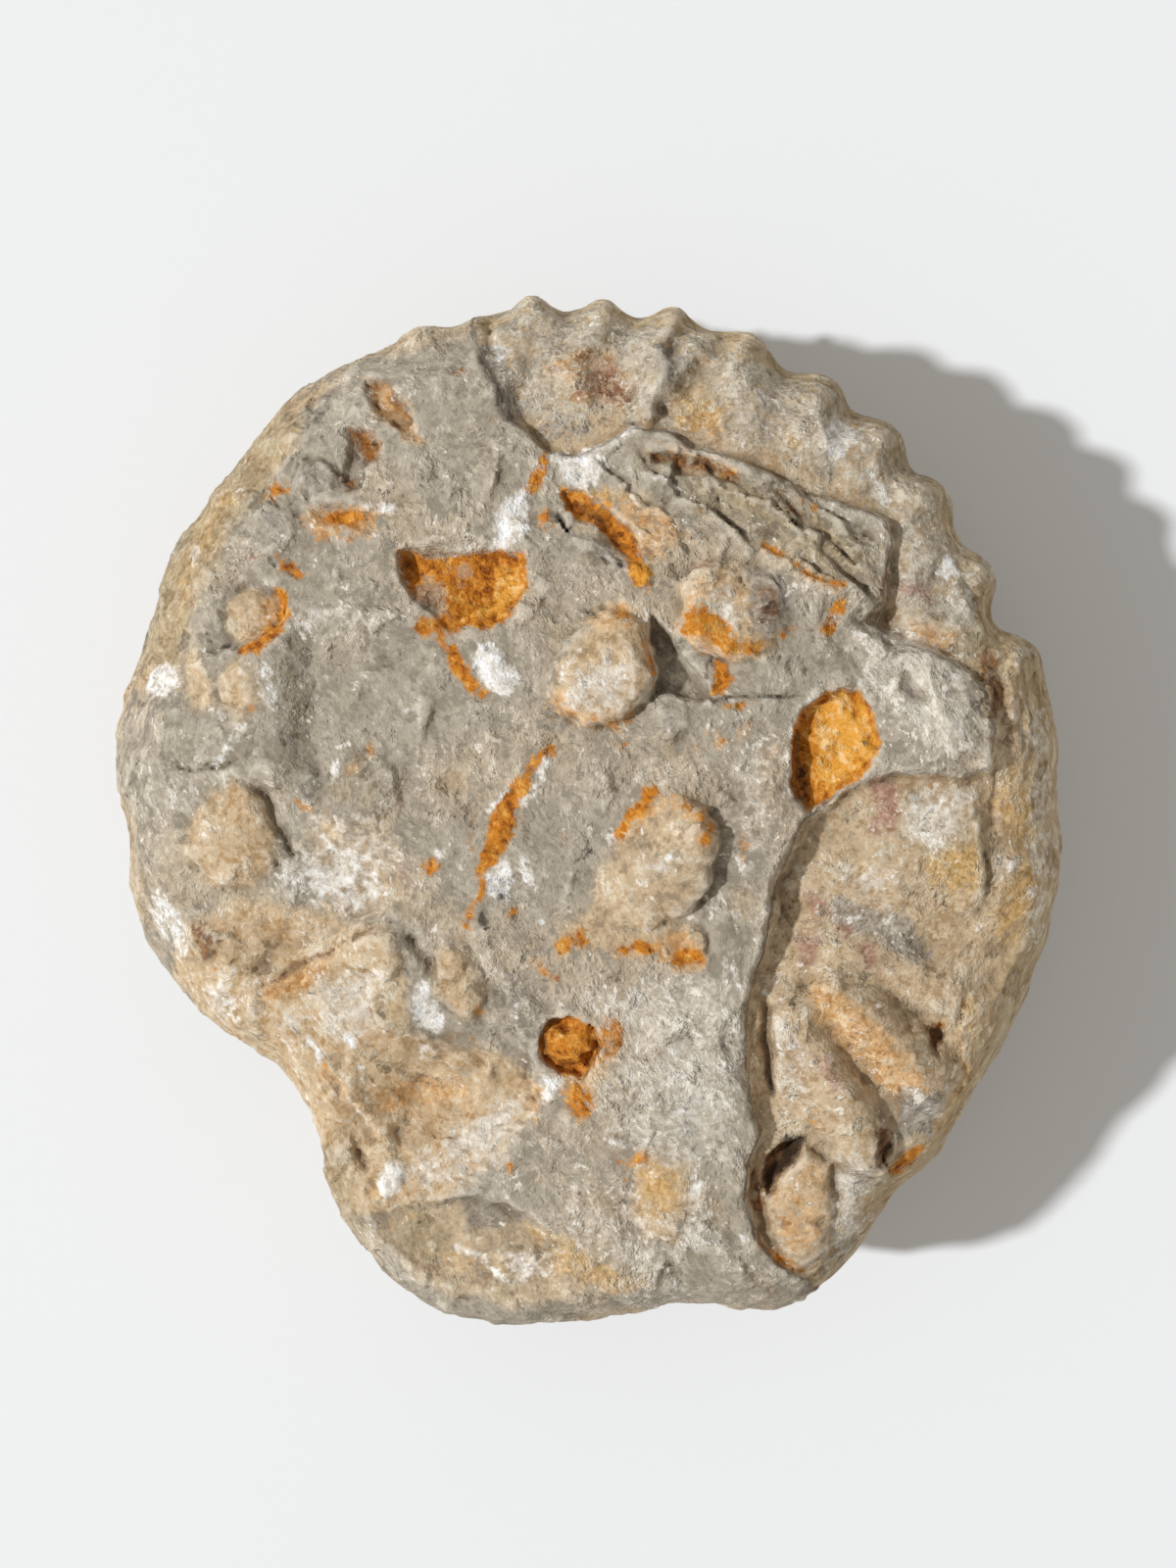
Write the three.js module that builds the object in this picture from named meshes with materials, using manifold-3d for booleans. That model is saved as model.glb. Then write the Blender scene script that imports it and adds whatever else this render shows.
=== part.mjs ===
// A fossil ammonite: the stone cast of a stout, ribbed shell, still joined to the limestone that buried it.
// It lies on one flank. The outer whorl shows round the rim, with a knob at the end of each rib, and a broken
// slab of limestone full of small shells hides the middle of the upper flank. It is all one stone.
//
// The model is a ball of triangles drawn out to the stone's plan and thickness, carved by the functions below,
// and then cut flat underneath where the flank is worn and the stone rests.
import * as THREE from "three";
import { mergeVertices } from "three/addons/utils/BufferGeometryUtils.js";
import Module from "manifold-3d";

// Sizes are in millimetres. +Z is up, and the origin is on the table under the middle of the stone.
const WAIST = 22; // the level at which the stone is widest
const CROWN = 45.5; // the highest level of the limestone slab
const CROWN_AT = [10, -2];
const CROWN_FALL = [0.0018, 0.0015]; // how fast the slab falls away along X and Y
const CUT = 1; // how much is worn off the lowest parts of the underside
const EDGE_POWER = 2.3; // 2 gives a round edge, and more gives a squarer one
const LOWER_EDGE = 14; // the width of the rounding under the rim
const BALL_DETAIL = 21; // 20 * (BALL_DETAIL + 1) ** 2 triangles before the cut
const WEAR = 0.45; // how far each corner is moved towards its neighbours' middle

// The plan at the widest level, between the knobs, anticlockwise from +X.
const PLAN = [
  [57.7, 3.4], [57.5, 13.1], [54.3, 19.3], [50.5, 22.7], [47.1, 31.2], [42, 39], [36.2, 45.7],
  [28.4, 51.7], [19.6, 56.5], [11.2, 59.2], [1.8, 60.6], [-7.2, 61.1], [-15.7, 59.2], [-24.1, 57.5],
  [-33.8, 52.7], [-40.1, 47.2], [-47.1, 39], [-51.3, 30.9], [-53.7, 21.5], [-56.7, 13.7], [-57.7, 4.6],
  [-56.1, -2.6], [-54.9, -11.1], [-51.3, -18.9], [-44.7, -26.2], [-37.4, -30.4], [-32.6, -38.9],
  [-30.8, -47.3], [-26, -54.5], [-19.3, -60.6], [-9.7, -63], [0, -62.2], [12.1, -60], [25.6, -60.7],
  [32.6, -55.2], [36.8, -46.7], [42.3, -42.5], [48.3, -34], [53.1, -25], [56.3, -15.9], [57.9, -5.1],
];

// The broken edge of the limestone slab, from the top rim to the bottom rim, with the drop to the shell's flank.
const LEDGE = [
  [-13.9, 63, 3.2], [-12.3, 54.4, 3.2], [-9.9, 48.2, 3.4], [-9, 44.9, 3], [-5.4, 41.3, 2], [0, 40.8, 1.6],
  [5, 42.4, 1.4], [10.1, 40.8, 1.8], [17.9, 40.2, 2], [28, 36.1, 2.4], [34.2, 33.9, 2.8], [33.3, 24.5, 2.6],
  [37, 20.8, 2.6], [44.8, 18.9, 3], [46.2, 14.6, 3.4], [43.1, 6.5, 3.4], [32.5, 4, 4], [28, -2.2, 5],
  [24.4, -6.7, 6], [20.7, -15.1, 6.4], [19.3, -20.1, 6], [17.4, -28.5, 5.2], [19.1, -35.8, 4.4],
  [20.8, -41.4, 3.6], [18.8, -45.9, 3.4], [21.3, -51.5, 3], [24, -66, 2.6],
];
const LEDGE_WIDTH = 5;

// The shell's coil: ribs run out from the umbilicus, and each crosses the rim as a row of three knobs.
const UMBILICUS = [4.5, 12.4];
const RIB_PITCH = 11.8; // degrees
const FIRST_RIB = 126.6; // degrees, the first rib on the upper flank at RIB_RADIUS
const RIB_RADIUS = 48;
const RIB_SWEEP = 0.2; // degrees that a rib leans clockwise for each millimetre outwards
// The height of each rib on the upper flank, going clockwise from FIRST_RIB.
const UPPER_RIBS = [0.4, 0.8, 1.6, 1.6, 1.6, 1.4, 1.3, 1.2, 1.2, 1, 0.9, 0.6, 0.5, 0.6, 0.9, 2.4, 2.6, 0.9];
const KNOBS = [1.6, 1.2, 2.4, 2.2, 2.2, 2.2, 2.4, 2.4, 2.3, 2.2, 1.6, 0.7, 0.4, 0.4, 0.5, 0.7, 0.5, 0];
const KNOB_LEVELS = [34, 22, 10];
const KNOB_SPREAD = 2.8;
const LOWER_RIB = 2; // how deep the hollows between the ribs of the lower flank are
const FLANK_LOW = 35; // the lower flank is lowest this far from the umbilicus, and bulges by FLANK_BULGE
const FLANK_BULGE = 0.009;
const UMBILICUS_RADIUS = 20;
const UMBILICUS_DEPTH = 5;
const INNER_WHORL = { radius: 10, width: 4.5, height: 2.2 };

// The limestone left on the lower flank, flush with the worn ribs.
const LOWER_SLAB = { at: [-22, -24], radius: 37, edge: 7 };

// Shells and sockets of the upper side: middle, half length, half width, turn in degrees, height, edge power.
const BOSSES = [
  { at: [2.3, 16], half: [5.6, 6.2], turn: -30, height: 3.4, power: 2.5 }, // a shell, standing proud
  { at: [7.2, -4.6], half: [7.4, 8.6], turn: 10, height: 2.6, power: 3 }, // a second shell
  { at: [-41, -2.2], half: [6, 6.4], turn: 0, height: 2, power: 2 }, // a worn shell near the left rim
  { at: [15.6, 23.4], half: [6.4, 5.2], turn: 0, height: 1.3, power: 2 }, // a crushed shell
  { at: [-14.6, 25.6], half: [6.8, 4.4], turn: 0, height: -2.6, power: 3 }, // a rusty socket
  { at: [28, 7.4], half: [4.4, 6.6], turn: -14, height: -2.4, power: 3 }, // a rusty socket by the ledge
  { at: [-1.7, -26.6], half: [3.2, 3.2], turn: 0, height: -2.6, power: 3 }, // a socket with an iron nodule
  { at: [-15, -49.6], half: [9, 4], turn: -14, height: -1.6, power: 2 }, // the print of a clam
  { at: [22.4, -39.8], half: [1.8, 3], turn: -25, height: -3.4, power: 2 }, // a hole under the ledge
];

// Broad hollows of the upper side, without an edge.
const HOLLOWS = [
  { at: [-20, -34.5], half: [12, 7], turn: 25, height: -4.5 }, // the scoop that runs out at the notch
  { at: [-30.5, -21.5], half: [9, 4.6], turn: 15, height: -2.6 }, // a smaller one above it
  { at: [-28.5, 10], half: [3.4, 9], turn: 0, height: -1.3 },
  { at: [-4, 48], half: [4, 8], turn: 25, height: -1.6 }, // between the slab and the first bare ribs
];

const radians = THREE.MathUtils.degToRad;
const smoothstep = THREE.MathUtils.smoothstep;

// The plan's radius in the direction of an angle, along smooth curves through the points of PLAN.
const planPoints = PLAN.map(([x, y]) => ({ angle: Math.atan2(y, x), radius: Math.hypot(x, y) })).sort(
  (a, b) => a.angle - b.angle,
);
function planRadius(angle) {
  const n = planPoints.length;
  let i = planPoints.findIndex((p) => p.angle > angle);
  if (i < 0) i = n;
  const [before, from, to, after] = [i - 2, i - 1, i, i + 1].map((k) => {
    const p = planPoints[((k % n) + n) % n];
    return { angle: p.angle + 2 * Math.PI * Math.floor(k / n), radius: p.radius };
  });
  const span = to.angle - from.angle;
  const slopeFrom = ((to.radius - before.radius) / (to.angle - before.angle)) * span;
  const slopeTo = ((after.radius - from.radius) / (after.angle - from.angle)) * span;
  const t = (angle - from.angle) / span;
  const rise = t * t * (3 - 2 * t);
  return (
    from.radius * (1 - rise) + to.radius * rise + slopeFrom * t * (1 - t) ** 2 - slopeTo * t * t * (1 - t)
  );
}

// The width of the rounding over the rim, widest at the lower left where the slab runs out.
const upperEdge = (angle) => 12.5 + 5.5 * Math.cos(angle + radians(140));

// How far a point lies outside the slab's edge, and the drop there.
function ledgeAt(x, y) {
  let nearest = { distance: Infinity };
  for (let i = 0; i + 1 < LEDGE.length; i++) {
    const [ax, ay, aDrop] = LEDGE[i];
    const [bx, by, bDrop] = LEDGE[i + 1];
    const [dx, dy] = [bx - ax, by - ay];
    const t = THREE.MathUtils.clamp(((x - ax) * dx + (y - ay) * dy) / (dx * dx + dy * dy), 0, 1);
    const distance = Math.hypot(x - ax - t * dx, y - ay - t * dy);
    const side = Math.sign((y - ay) * dx - (x - ax) * dy);
    if (distance < nearest.distance) nearest = { distance, side, drop: aDrop + t * (bDrop - aDrop) };
  }
  return { outside: nearest.side * nearest.distance, drop: nearest.drop };
}

// A point's place among the ribs: the rib's number counted clockwise, how near its crest, and how far out.
function ribAt(x, y) {
  const out = Math.hypot(x - UMBILICUS[0], y - UMBILICUS[1]);
  const angle = THREE.MathUtils.radToDeg(Math.atan2(y - UMBILICUS[1], x - UMBILICUS[0]));
  const number = (FIRST_RIB - angle - RIB_SWEEP * (out - RIB_RADIUS)) / RIB_PITCH;
  const crest = (0.5 + 0.5 * Math.cos(2 * Math.PI * number)) ** 1.4;
  return { number, crest, out };
}

// How far a point lies from the middle of a boss or hollow: 1 at its edge.
function reachAt(x, y, { at, half, turn }) {
  const [c, s] = [Math.cos(radians(turn)), Math.sin(radians(turn))];
  const [dx, dy] = [x - at[0], y - at[1]];
  return Math.hypot((c * dx + s * dy) / half[0], (c * dy - s * dx) / half[1]);
}

function bossAt(x, y, boss) {
  const reach = reachAt(x, y, boss);
  return reach < 1 ? boss.height * Math.sqrt(1 - reach ** boss.power) : 0;
}

const hollowAt = (x, y, hollow) => hollow.height * Math.exp(-(reachAt(x, y, hollow) ** 2));

// The level of the upper side before its rim is rounded.
function upperLevel(x, y) {
  const { outside, drop } = ledgeAt(x, y);
  const { number, crest, out } = ribAt(x, y);
  const bare = smoothstep(outside, -LEDGE_WIDTH / 2, LEDGE_WIDTH / 2);
  const rib = UPPER_RIBS[Math.round(number)] ?? 0;
  const crown = CROWN - CROWN_FALL[0] * (x - CROWN_AT[0]) ** 2 - CROWN_FALL[1] * (y - CROWN_AT[1]) ** 2;
  const relief = rib * crest * smoothstep(out, 22, 40) * smoothstep(outside, 0, 4);
  const bosses = BOSSES.reduce((sum, boss) => sum + bossAt(x, y, boss), 0);
  const hollows = HOLLOWS.reduce((sum, hollow) => sum + hollowAt(x, y, hollow), 0);
  return crown - drop * bare + relief + bosses + hollows;
}

// The level of the lower side before it is cut flat: a ribbed flank round a sunken umbilicus, partly under a slab.
function lowerLevel(x, y) {
  const { crest, out } = ribAt(x, y);
  const flank = FLANK_BULGE * (out - FLANK_LOW) ** 2 + LOWER_RIB * (1 - crest) * smoothstep(out, 16, 30);
  const sunk = UMBILICUS_DEPTH * (1 - smoothstep(out, UMBILICUS_RADIUS - 6, UMBILICUS_RADIUS));
  const whorl = INNER_WHORL.height * Math.exp(-(((out - INNER_WHORL.radius) / INNER_WHORL.width) ** 2));
  const { at, radius, edge } = LOWER_SLAB;
  const bare = smoothstep(Math.hypot(x - at[0], y - at[1]), radius - edge / 2, radius + edge / 2);
  return -CUT + bare * (flank + sunk - whorl);
}

// Where a direction from the middle of the ball meets the stone.
function surfacePoint(direction) {
  const angle = Math.atan2(direction.y, direction.x);
  const radius = planRadius(angle);
  const upper = direction.z >= 0;
  const edge = upper ? upperEdge(angle) : LOWER_EDGE;
  const share = 1 - Math.asin(Math.min(1, Math.abs(direction.z))) / (Math.PI / 2); // 0 at a pole, 1 at the waist
  const flat = radius - edge;
  const bend = 0.79 * (edge + (upper ? CROWN - WAIST : WAIST));
  const along = share * (flat + bend);
  const turn = (Math.max(0, along - flat) / bend) * (Math.PI / 2);
  const reach = along < flat ? along : flat + edge * Math.sin(turn) ** (2 / EDGE_POWER);
  const x = reach * Math.cos(angle);
  const y = reach * Math.sin(angle);
  const level = upper ? upperLevel(x, y) : lowerLevel(x, y);
  return new THREE.Vector3(x, y, WAIST + (level - WAIST) * Math.max(0, Math.cos(turn)) ** (2 / EDGE_POWER));
}

// The knobs: pushes at the rib ends, each outwards from the umbilicus at its level.
const knobs = KNOBS.flatMap((push, number) => {
  const angle = radians(FIRST_RIB - number * RIB_PITCH);
  const outwards = new THREE.Vector3(Math.cos(angle), Math.sin(angle), 0);
  let reach = 0;
  const at = () => outwards.clone().multiplyScalar(reach).add(new THREE.Vector3(...UMBILICUS, 0));
  while (at().length() < planRadius(Math.atan2(at().y, at().x))) reach += 0.1;
  return KNOB_LEVELS.map((level) => ({ at: at().setZ(level), push: outwards.clone().multiplyScalar(push) }));
});

// Every corner drawn out from the ball to the stone.
function carve(geometry) {
  const position = geometry.attributes.position;
  const point = new THREE.Vector3();
  for (let i = 0; i < position.count; i++) {
    point.copy(surfacePoint(point.fromBufferAttribute(position, i).normalize()));
    const start = point.clone();
    for (const knob of knobs) {
      const nearness = Math.exp(-start.distanceToSquared(knob.at) / (2 * KNOB_SPREAD ** 2));
      point.addScaledVector(knob.push, nearness);
    }
    position.setXYZ(i, point.x, point.y, point.z);
  }
  return geometry;
}

// A geometry, position only, whose triangles share their corners.
function joined(geometry) {
  geometry.deleteAttribute("normal");
  geometry.deleteAttribute("uv");
  return mergeVertices(geometry);
}

// Every corner moved part of the way to the middle of its neighbours, which wears the steps of the triangles down.
function wear(geometry) {
  const position = geometry.attributes.position;
  const corners = geometry.index.array;
  const sums = Array.from({ length: position.count }, () => ({ sum: new THREE.Vector3(), count: 0 }));
  const point = new THREE.Vector3();
  for (let i = 0; i < corners.length; i += 3) {
    for (let k = 0; k < 3; k++) {
      const at = sums[corners[i + k]];
      at.sum.add(point.fromBufferAttribute(position, corners[i + ((k + 1) % 3)]));
      at.count++;
    }
  }
  sums.forEach(({ sum, count }, i) => {
    point.fromBufferAttribute(position, i).lerp(sum.divideScalar(count), WEAR);
    position.setXYZ(i, point.x, point.y, point.z);
  });
  return geometry;
}

const wasm = await Module();
wasm.setup();

// A closed geometry as a solid for cutting.
function solidOf({ attributes, index }) {
  const mesh = { numProp: 3, vertProperties: attributes.position.array, triVerts: index.array };
  return new wasm.Manifold(new wasm.Mesh(mesh));
}

function geometryOf(solid) {
  const mesh = solid.getMesh();
  const geometry = new THREE.BufferGeometry();
  geometry.setAttribute("position", new THREE.BufferAttribute(mesh.vertProperties, 3));
  geometry.setIndex(new THREE.BufferAttribute(mesh.triVerts, 1));
  geometry.computeVertexNormals();
  return geometry;
}

const block = joined(new THREE.BoxGeometry(200, 200, 20).translate(0, 0, -10));
const ball = joined(new THREE.IcosahedronGeometry(1, BALL_DETAIL));
const stone = solidOf(wear(carve(ball))).subtract(solidOf(block));

const limestone = new THREE.MeshStandardMaterial({ color: 0xb5a78f, roughness: 0.9, metalness: 0 });
const ammonite = new THREE.Mesh(geometryOf(stone), limestone);
ammonite.name = "ammonite_stone";

const group = new THREE.Group();
group.add(ammonite);

export default group;
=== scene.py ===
# A fossil ammonite: the stone cast of a stout, ribbed shell, still joined to the limestone
# that buried it. The stone is a solid shape worked out on a fine three-dimensional grid, in
# millimetres, and skinned with a mesh. Stains, kinds of rock and some painted shade are masks on
# the mesh's points, and the material breaks their edges up with noise.
import itertools
import math

import bpy
import numpy as np
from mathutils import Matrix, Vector


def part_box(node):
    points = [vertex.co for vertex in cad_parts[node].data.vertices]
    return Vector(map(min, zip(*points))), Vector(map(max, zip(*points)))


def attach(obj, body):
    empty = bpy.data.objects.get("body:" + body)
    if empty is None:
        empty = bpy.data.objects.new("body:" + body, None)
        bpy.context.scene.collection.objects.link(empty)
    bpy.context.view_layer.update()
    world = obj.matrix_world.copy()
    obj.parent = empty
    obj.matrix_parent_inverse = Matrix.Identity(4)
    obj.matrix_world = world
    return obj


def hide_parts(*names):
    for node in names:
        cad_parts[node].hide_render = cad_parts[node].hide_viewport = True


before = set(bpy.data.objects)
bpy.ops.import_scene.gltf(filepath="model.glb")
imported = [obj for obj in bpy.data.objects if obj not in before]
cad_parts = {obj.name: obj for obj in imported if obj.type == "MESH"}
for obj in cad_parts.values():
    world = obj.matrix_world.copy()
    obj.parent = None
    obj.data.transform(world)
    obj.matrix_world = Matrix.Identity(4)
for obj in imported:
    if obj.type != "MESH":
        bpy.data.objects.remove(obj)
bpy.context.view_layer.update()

MM = 0.001
stone_low, stone_high = (np.array(corner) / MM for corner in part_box("ammonite_stone"))
WAIST = 0.456 * stone_high[2]  # the level at which the stone is widest
CROWN = stone_high[2] - 2.7  # the highest level of the limestone slab between its shells

GRID_STEP = 0.42
MARGIN = 3  # grid steps round the stone
MOST_TRIANGLES = 194_000
SPIKE_TURN = 235  # degrees of corners round a point under which it is the tip of a spike
BLUNTING_ROUNDS = 4

# Radii of the two discs of the flat layout, in a square of side 1.
UPPER_DISC = 0.385
LOWER_DISC = 0.195

# ---------------------------------------------------------------- noise

DIRECTIONS = 1024  # a power of two
random = np.random.default_rng(7)
GRADIENTS = random.normal(size=(DIRECTIONS, 3)).astype(np.float32)
GRADIENTS /= np.linalg.norm(GRADIENTS, axis=1, keepdims=True)
# A turn that keeps the noise off the grid's axes.
TURN = np.linalg.qr(random.normal(size=(3, 3)))[0].astype(np.float32)
PRIMES = (73856093, 19349663, 83492791)
SEED_SHIFT = 37.7  # how many cells each seed moves the noise by
SEED_ROWS = 71  # how many rows of GRADIENTS each seed moves it by

# A facet: how far its middle strays in its cell, how bowed it is, and how high it may lie.
FACET_WANDER = 0.42
FACET_BOWL = 0.5
FACET_LEVEL = 0.3


def gradient_rows(corners, seed=0):
    """A row of GRADIENTS for each corner of a noise's cells, as if picked at random."""
    row = np.zeros(corners.shape[:-1], np.int64)
    for axis in range(corners.shape[-1]):
        row ^= corners[..., axis] * PRIMES[axis]
    return (row + SEED_ROWS * seed) & (DIRECTIONS - 1)


def noise(points, cell, seed):
    """Smooth noise from about -1 to 1 at points (n, 3), with lumps about one cell across."""
    place = points @ TURN / np.float32(cell) + SEED_SHIFT * (seed + 1)
    corner = np.floor(place).astype(np.int64)
    along = (place - corner).astype(np.float32)
    ease = along**3 * (along * (6 * along - 15) + 10)
    total = np.zeros(len(points), np.float32)
    for step in itertools.product((0, 1), repeat=3):
        toward = GRADIENTS[gradient_rows(corner + step)]
        pull = np.einsum("ij,ij->i", toward, along - np.float32(step))
        total += pull * np.prod(np.where(step, ease, 1 - ease), axis=1)
    return 1.5 * total


def fractal(points, cell, seed, octaves=3, gain=0.5):
    """Noise with finer noise on it."""
    total = 0
    for octave in range(octaves):
        total = total + gain**octave * noise(points, cell / 2**octave, seed + 11 * octave)
    return total


def facets(points, cell, seed):
    """Broken faces that meet in ridges, from about -0.7 to 0.3, each with a tilt and level of its own."""
    place = points @ TURN / np.float32(cell) + SEED_SHIFT * (seed + 1)
    corner = np.floor(place - 0.5).astype(np.int64)
    value = np.full(len(points), np.inf, np.float32)
    for step in itertools.product((0, 1), repeat=3):
        at = corner + step
        row = gradient_rows(at, seed)
        away = (place - at).astype(np.float32) - 0.5 - FACET_WANDER * GRADIENTS[row]
        face = np.einsum("ij,ij->i", away, GRADIENTS[row - 7] + FACET_BOWL * away)
        value = np.minimum(value, face + FACET_LEVEL * GRADIENTS[row - 5, 0])
    return value


def plan_fractal(x, y, cell, seed, octaves=3, gain=0.5):
    """Noise with finer noise on it, in the plan."""
    points = np.stack([x.ravel(), y.ravel(), np.zeros(x.size)], axis=1).astype(np.float32)
    return fractal(points, cell, seed, octaves, gain).reshape(x.shape)


# ---------------------------------------------------------------- measures in the plan

FAR = 3  # millimetres outside an outline from which its distance no longer matters


def smoothstep(value, low, high):
    t = np.clip((value - low) / (high - low), 0, 1)
    return t * t * (3 - 2 * t)


def reach(x, y, at, half, turn):
    """How far (x, y) lies from the middle of an ellipse: 1 on its edge. half[0] lies along turn."""
    c, s = math.cos(math.radians(turn)), math.sin(math.radians(turn))
    dx, dy = x - at[0], y - at[1]
    return np.hypot((c * dx + s * dy) / half[0], (c * dy - s * dx) / half[1])


def path_measures(x, y, path):
    """The distance to a path, positive on its left, and how far along it the nearest point is, 0 to 1."""
    nearest = np.full(x.shape, np.inf)
    side = np.ones(x.shape)
    along = np.zeros(x.shape)
    for i, (a, b) in enumerate(zip(path[:-1], path[1:])):
        dx, dy = b[0] - a[0], b[1] - a[1]
        t = np.clip(((x - a[0]) * dx + (y - a[1]) * dy) / (dx * dx + dy * dy), 0, 1)
        distance = np.hypot(x - a[0] - t * dx, y - a[1] - t * dy)
        closer = distance < nearest
        nearest = np.where(closer, distance, nearest)
        side = np.where(closer, np.where((y - a[1]) * dx > (x - a[0]) * dy, 1, -1), side)
        along = np.where(closer, (i + t) / (len(path) - 1), along)
    return side * nearest, along


def tapered(along, low, high):
    """1 over the middle of a path, and less towards both of its ends."""
    return smoothstep(along, low, high) * smoothstep(1 - along, low, high)


def inwards(x, y, outline):
    """How far inside a closed outline the points (x, y) are: negative outside, down to -FAR."""
    corners = np.array(outline)
    (left, bottom), (right, top) = corners.min(axis=0) - FAR, corners.max(axis=0) + FAR
    near = np.nonzero((x > left) & (x < right) & (y > bottom) & (y < top))
    a, b = x[near], y[near]
    distance = np.abs(path_measures(a, b, outline + outline[:1])[0])
    inner = np.zeros(a.shape, bool)
    for (xa, ya), (xb, yb) in zip(outline, outline[1:] + outline[:1]):
        if ya != yb:
            inner ^= ((b < ya) != (b < yb)) & (a < xa + (b - ya) / (yb - ya) * (xb - xa))
    measure = np.full(x.shape, -float(FAR))
    measure[near] = np.where(inner, distance, -distance)
    return measure


def round_curve(values, turns):
    """Smooth closed interpolation of (angle in degrees, value) pairs at the angles turns, in radians."""
    angle = np.radians([a for a, _ in values])
    value = np.array([v for _, v in values], float)
    angle = np.concatenate([angle[-2:] - 2 * np.pi, angle, angle[:2] + 2 * np.pi])
    value = np.concatenate([value[-2:], value, value[:2]])
    turns = np.mod(turns, 2 * np.pi)
    i = np.clip(np.searchsorted(angle, turns, side="right"), 2, len(angle) - 2)
    span = angle[i] - angle[i - 1]
    t = (turns - angle[i - 1]) / span
    slope_from = (value[i] - value[i - 2]) / (angle[i] - angle[i - 2]) * span
    slope_to = (value[i + 1] - value[i - 1]) / (angle[i + 1] - angle[i - 1]) * span
    rise = t * t * (3 - 2 * t)
    bow = slope_from * t * (1 - t) ** 2 - slope_to * t * t * (1 - t)
    return value[i - 1] * (1 - rise) + value[i] * rise + bow


# ---------------------------------------------------------------- the stone's plan and thickness

# The outline at the waist between the knobs, anticlockwise from +X.
PLAN = [
    (56.7, 3.4), (56.1, 12.8), (52.9, 18.8), (49.4, 22.3), (46.3, 30.7), (41.5, 38.6), (36, 45.5),
    (28.2, 51.4), (19.6, 56.3), (11.2, 59.2), (1.8, 60.6), (-7.2, 61.1), (-15.7, 58.6), (-23.8, 56.2),
    (-33.8, 52.4), (-39.7, 46.6), (-46.4, 38.4), (-51.3, 30.9), (-53.7, 21.5), (-56.7, 13.7),
    (-57.7, 4.6), (-56.1, -2.6), (-54.9, -11.1), (-51.3, -18.9), (-44.7, -26.2), (-37.4, -30.4),
    (-32.6, -38.9), (-30.8, -47.3), (-26, -54.3), (-19.3, -59.9), (-9.7, -62), (0, -61.1), (12.1, -59),
    (24, -59.8), (31.2, -54.2), (36.8, -46.7), (41.6, -42), (47, -33.4), (51.7, -24.7), (55.2, -15.7),
    (56.9, -5.1),
]
PLAN_BY_ANGLE = sorted((math.degrees(math.atan2(y, x)) % 360, math.hypot(x, y)) for x, y in PLAN)

# The rounding over the rim: angle in degrees, width, and power, where 2 is round and more is squarer.
UPPER_EDGE = [
    (0, 16, 3.2), (20, 12, 2.9), (40, 9, 2.4), (60, 8.5, 2.3), (85, 8, 2.3), (110, 9, 2.3),
    (140, 12, 2.3), (165, 11, 2.3), (185, 9, 2.4), (205, 10, 2.3), (228, 8, 2.3), (250, 7, 2.3),
    (272, 6.5, 2.3), (285, 8, 2.4), (300, 9, 2.4), (314, 8, 2.4), (328, 11, 3), (345, 16, 3.2),
]
EDGE_WIDTH = [(angle, width) for angle, width, _ in UPPER_EDGE]
EDGE_POWER = [(angle, power) for angle, _, power in UPPER_EDGE]
LOWER_EDGE = 14
LOWER_POWER = 2.3

# The broken edge of the slab, from the top rim to the bottom rim: x, y, the drop from it to
# the shell's flank, and how far the wall spreads from top to foot.
LEDGE = [
    (-14.5, 64, 3, 2.4), (-13.4, 56, 3, 2.6), (-11.8, 52, 3, 2.8), (-9.9, 48.6, 3, 2.6),
    (-9, 45.6, 2.6, 1.8), (-6.5, 43.2, 2, 1), (-4.4, 41.4, 1.5, 0.8), (-1, 41, 1.3, 0.8),
    (1.6, 42.3, 1.2, 0.7), (5, 44.2, 1.2, 0.7), (9.2, 43.8, 1.2, 0.7), (12, 41.8, 1.3, 0.7),
    (17, 40.6, 1.3, 0.7), (21, 39.3, 1.4, 0.7), (25.2, 36.9, 1.5, 0.7), (30.4, 35.2, 1.7, 0.7),
    (33.8, 34, 2, 0.8), (34.9, 31, 2.4, 1), (33.9, 27.6, 2.2, 1), (33.7, 24.6, 1.8, 1),
    (31.5, 22, 1.6, 0.8), (36, 19.6, 1.6, 0.7), (39.3, 18.3, 1.8, 0.7), (43.4, 16.4, 1.6, 1),
    (45.6, 13.6, 1.4, 1.8), (46.4, 9, 1.4, 2), (45.4, 5.2, 1.2, 1.4), (43, 4, 0.9, 0.5),
    (37.5, 4.9, 1, 0.5), (33.5, 4.4, 1.5, 0.6), (30.4, 3.6, 2.4, 1), (27.4, 1.4, 3.2, 1.6),
    (24.2, -0.8, 3.8, 2), (23, -4, 4, 2.2), (21.4, -8, 4.2, 2.2), (20.6, -11.6, 4.2, 2.2),
    (19.9, -15.4, 3.6, 2), (18.8, -19, 3, 2), (17.8, -23, 3.2, 2.6), (17.8, -28, 3.2, 2.8),
    (18.6, -33, 2.8, 2.4), (19.6, -36.6, 2.6, 1.4), (18.2, -40, 2.6, 1.4), (17.8, -44.6, 2.2, 1.6),
    (19, -48.4, 1.8, 1.6), (21.4, -51.8, 1.6, 1.2), (25.6, -54.6, 1.2, 1), (30, -62, 1, 1),
]

# ---------------------------------------------------------------- the shell's ribs and knobs

UMBILICUS = (4.5, 12.4)
RIB_PITCH = 11.8

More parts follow.
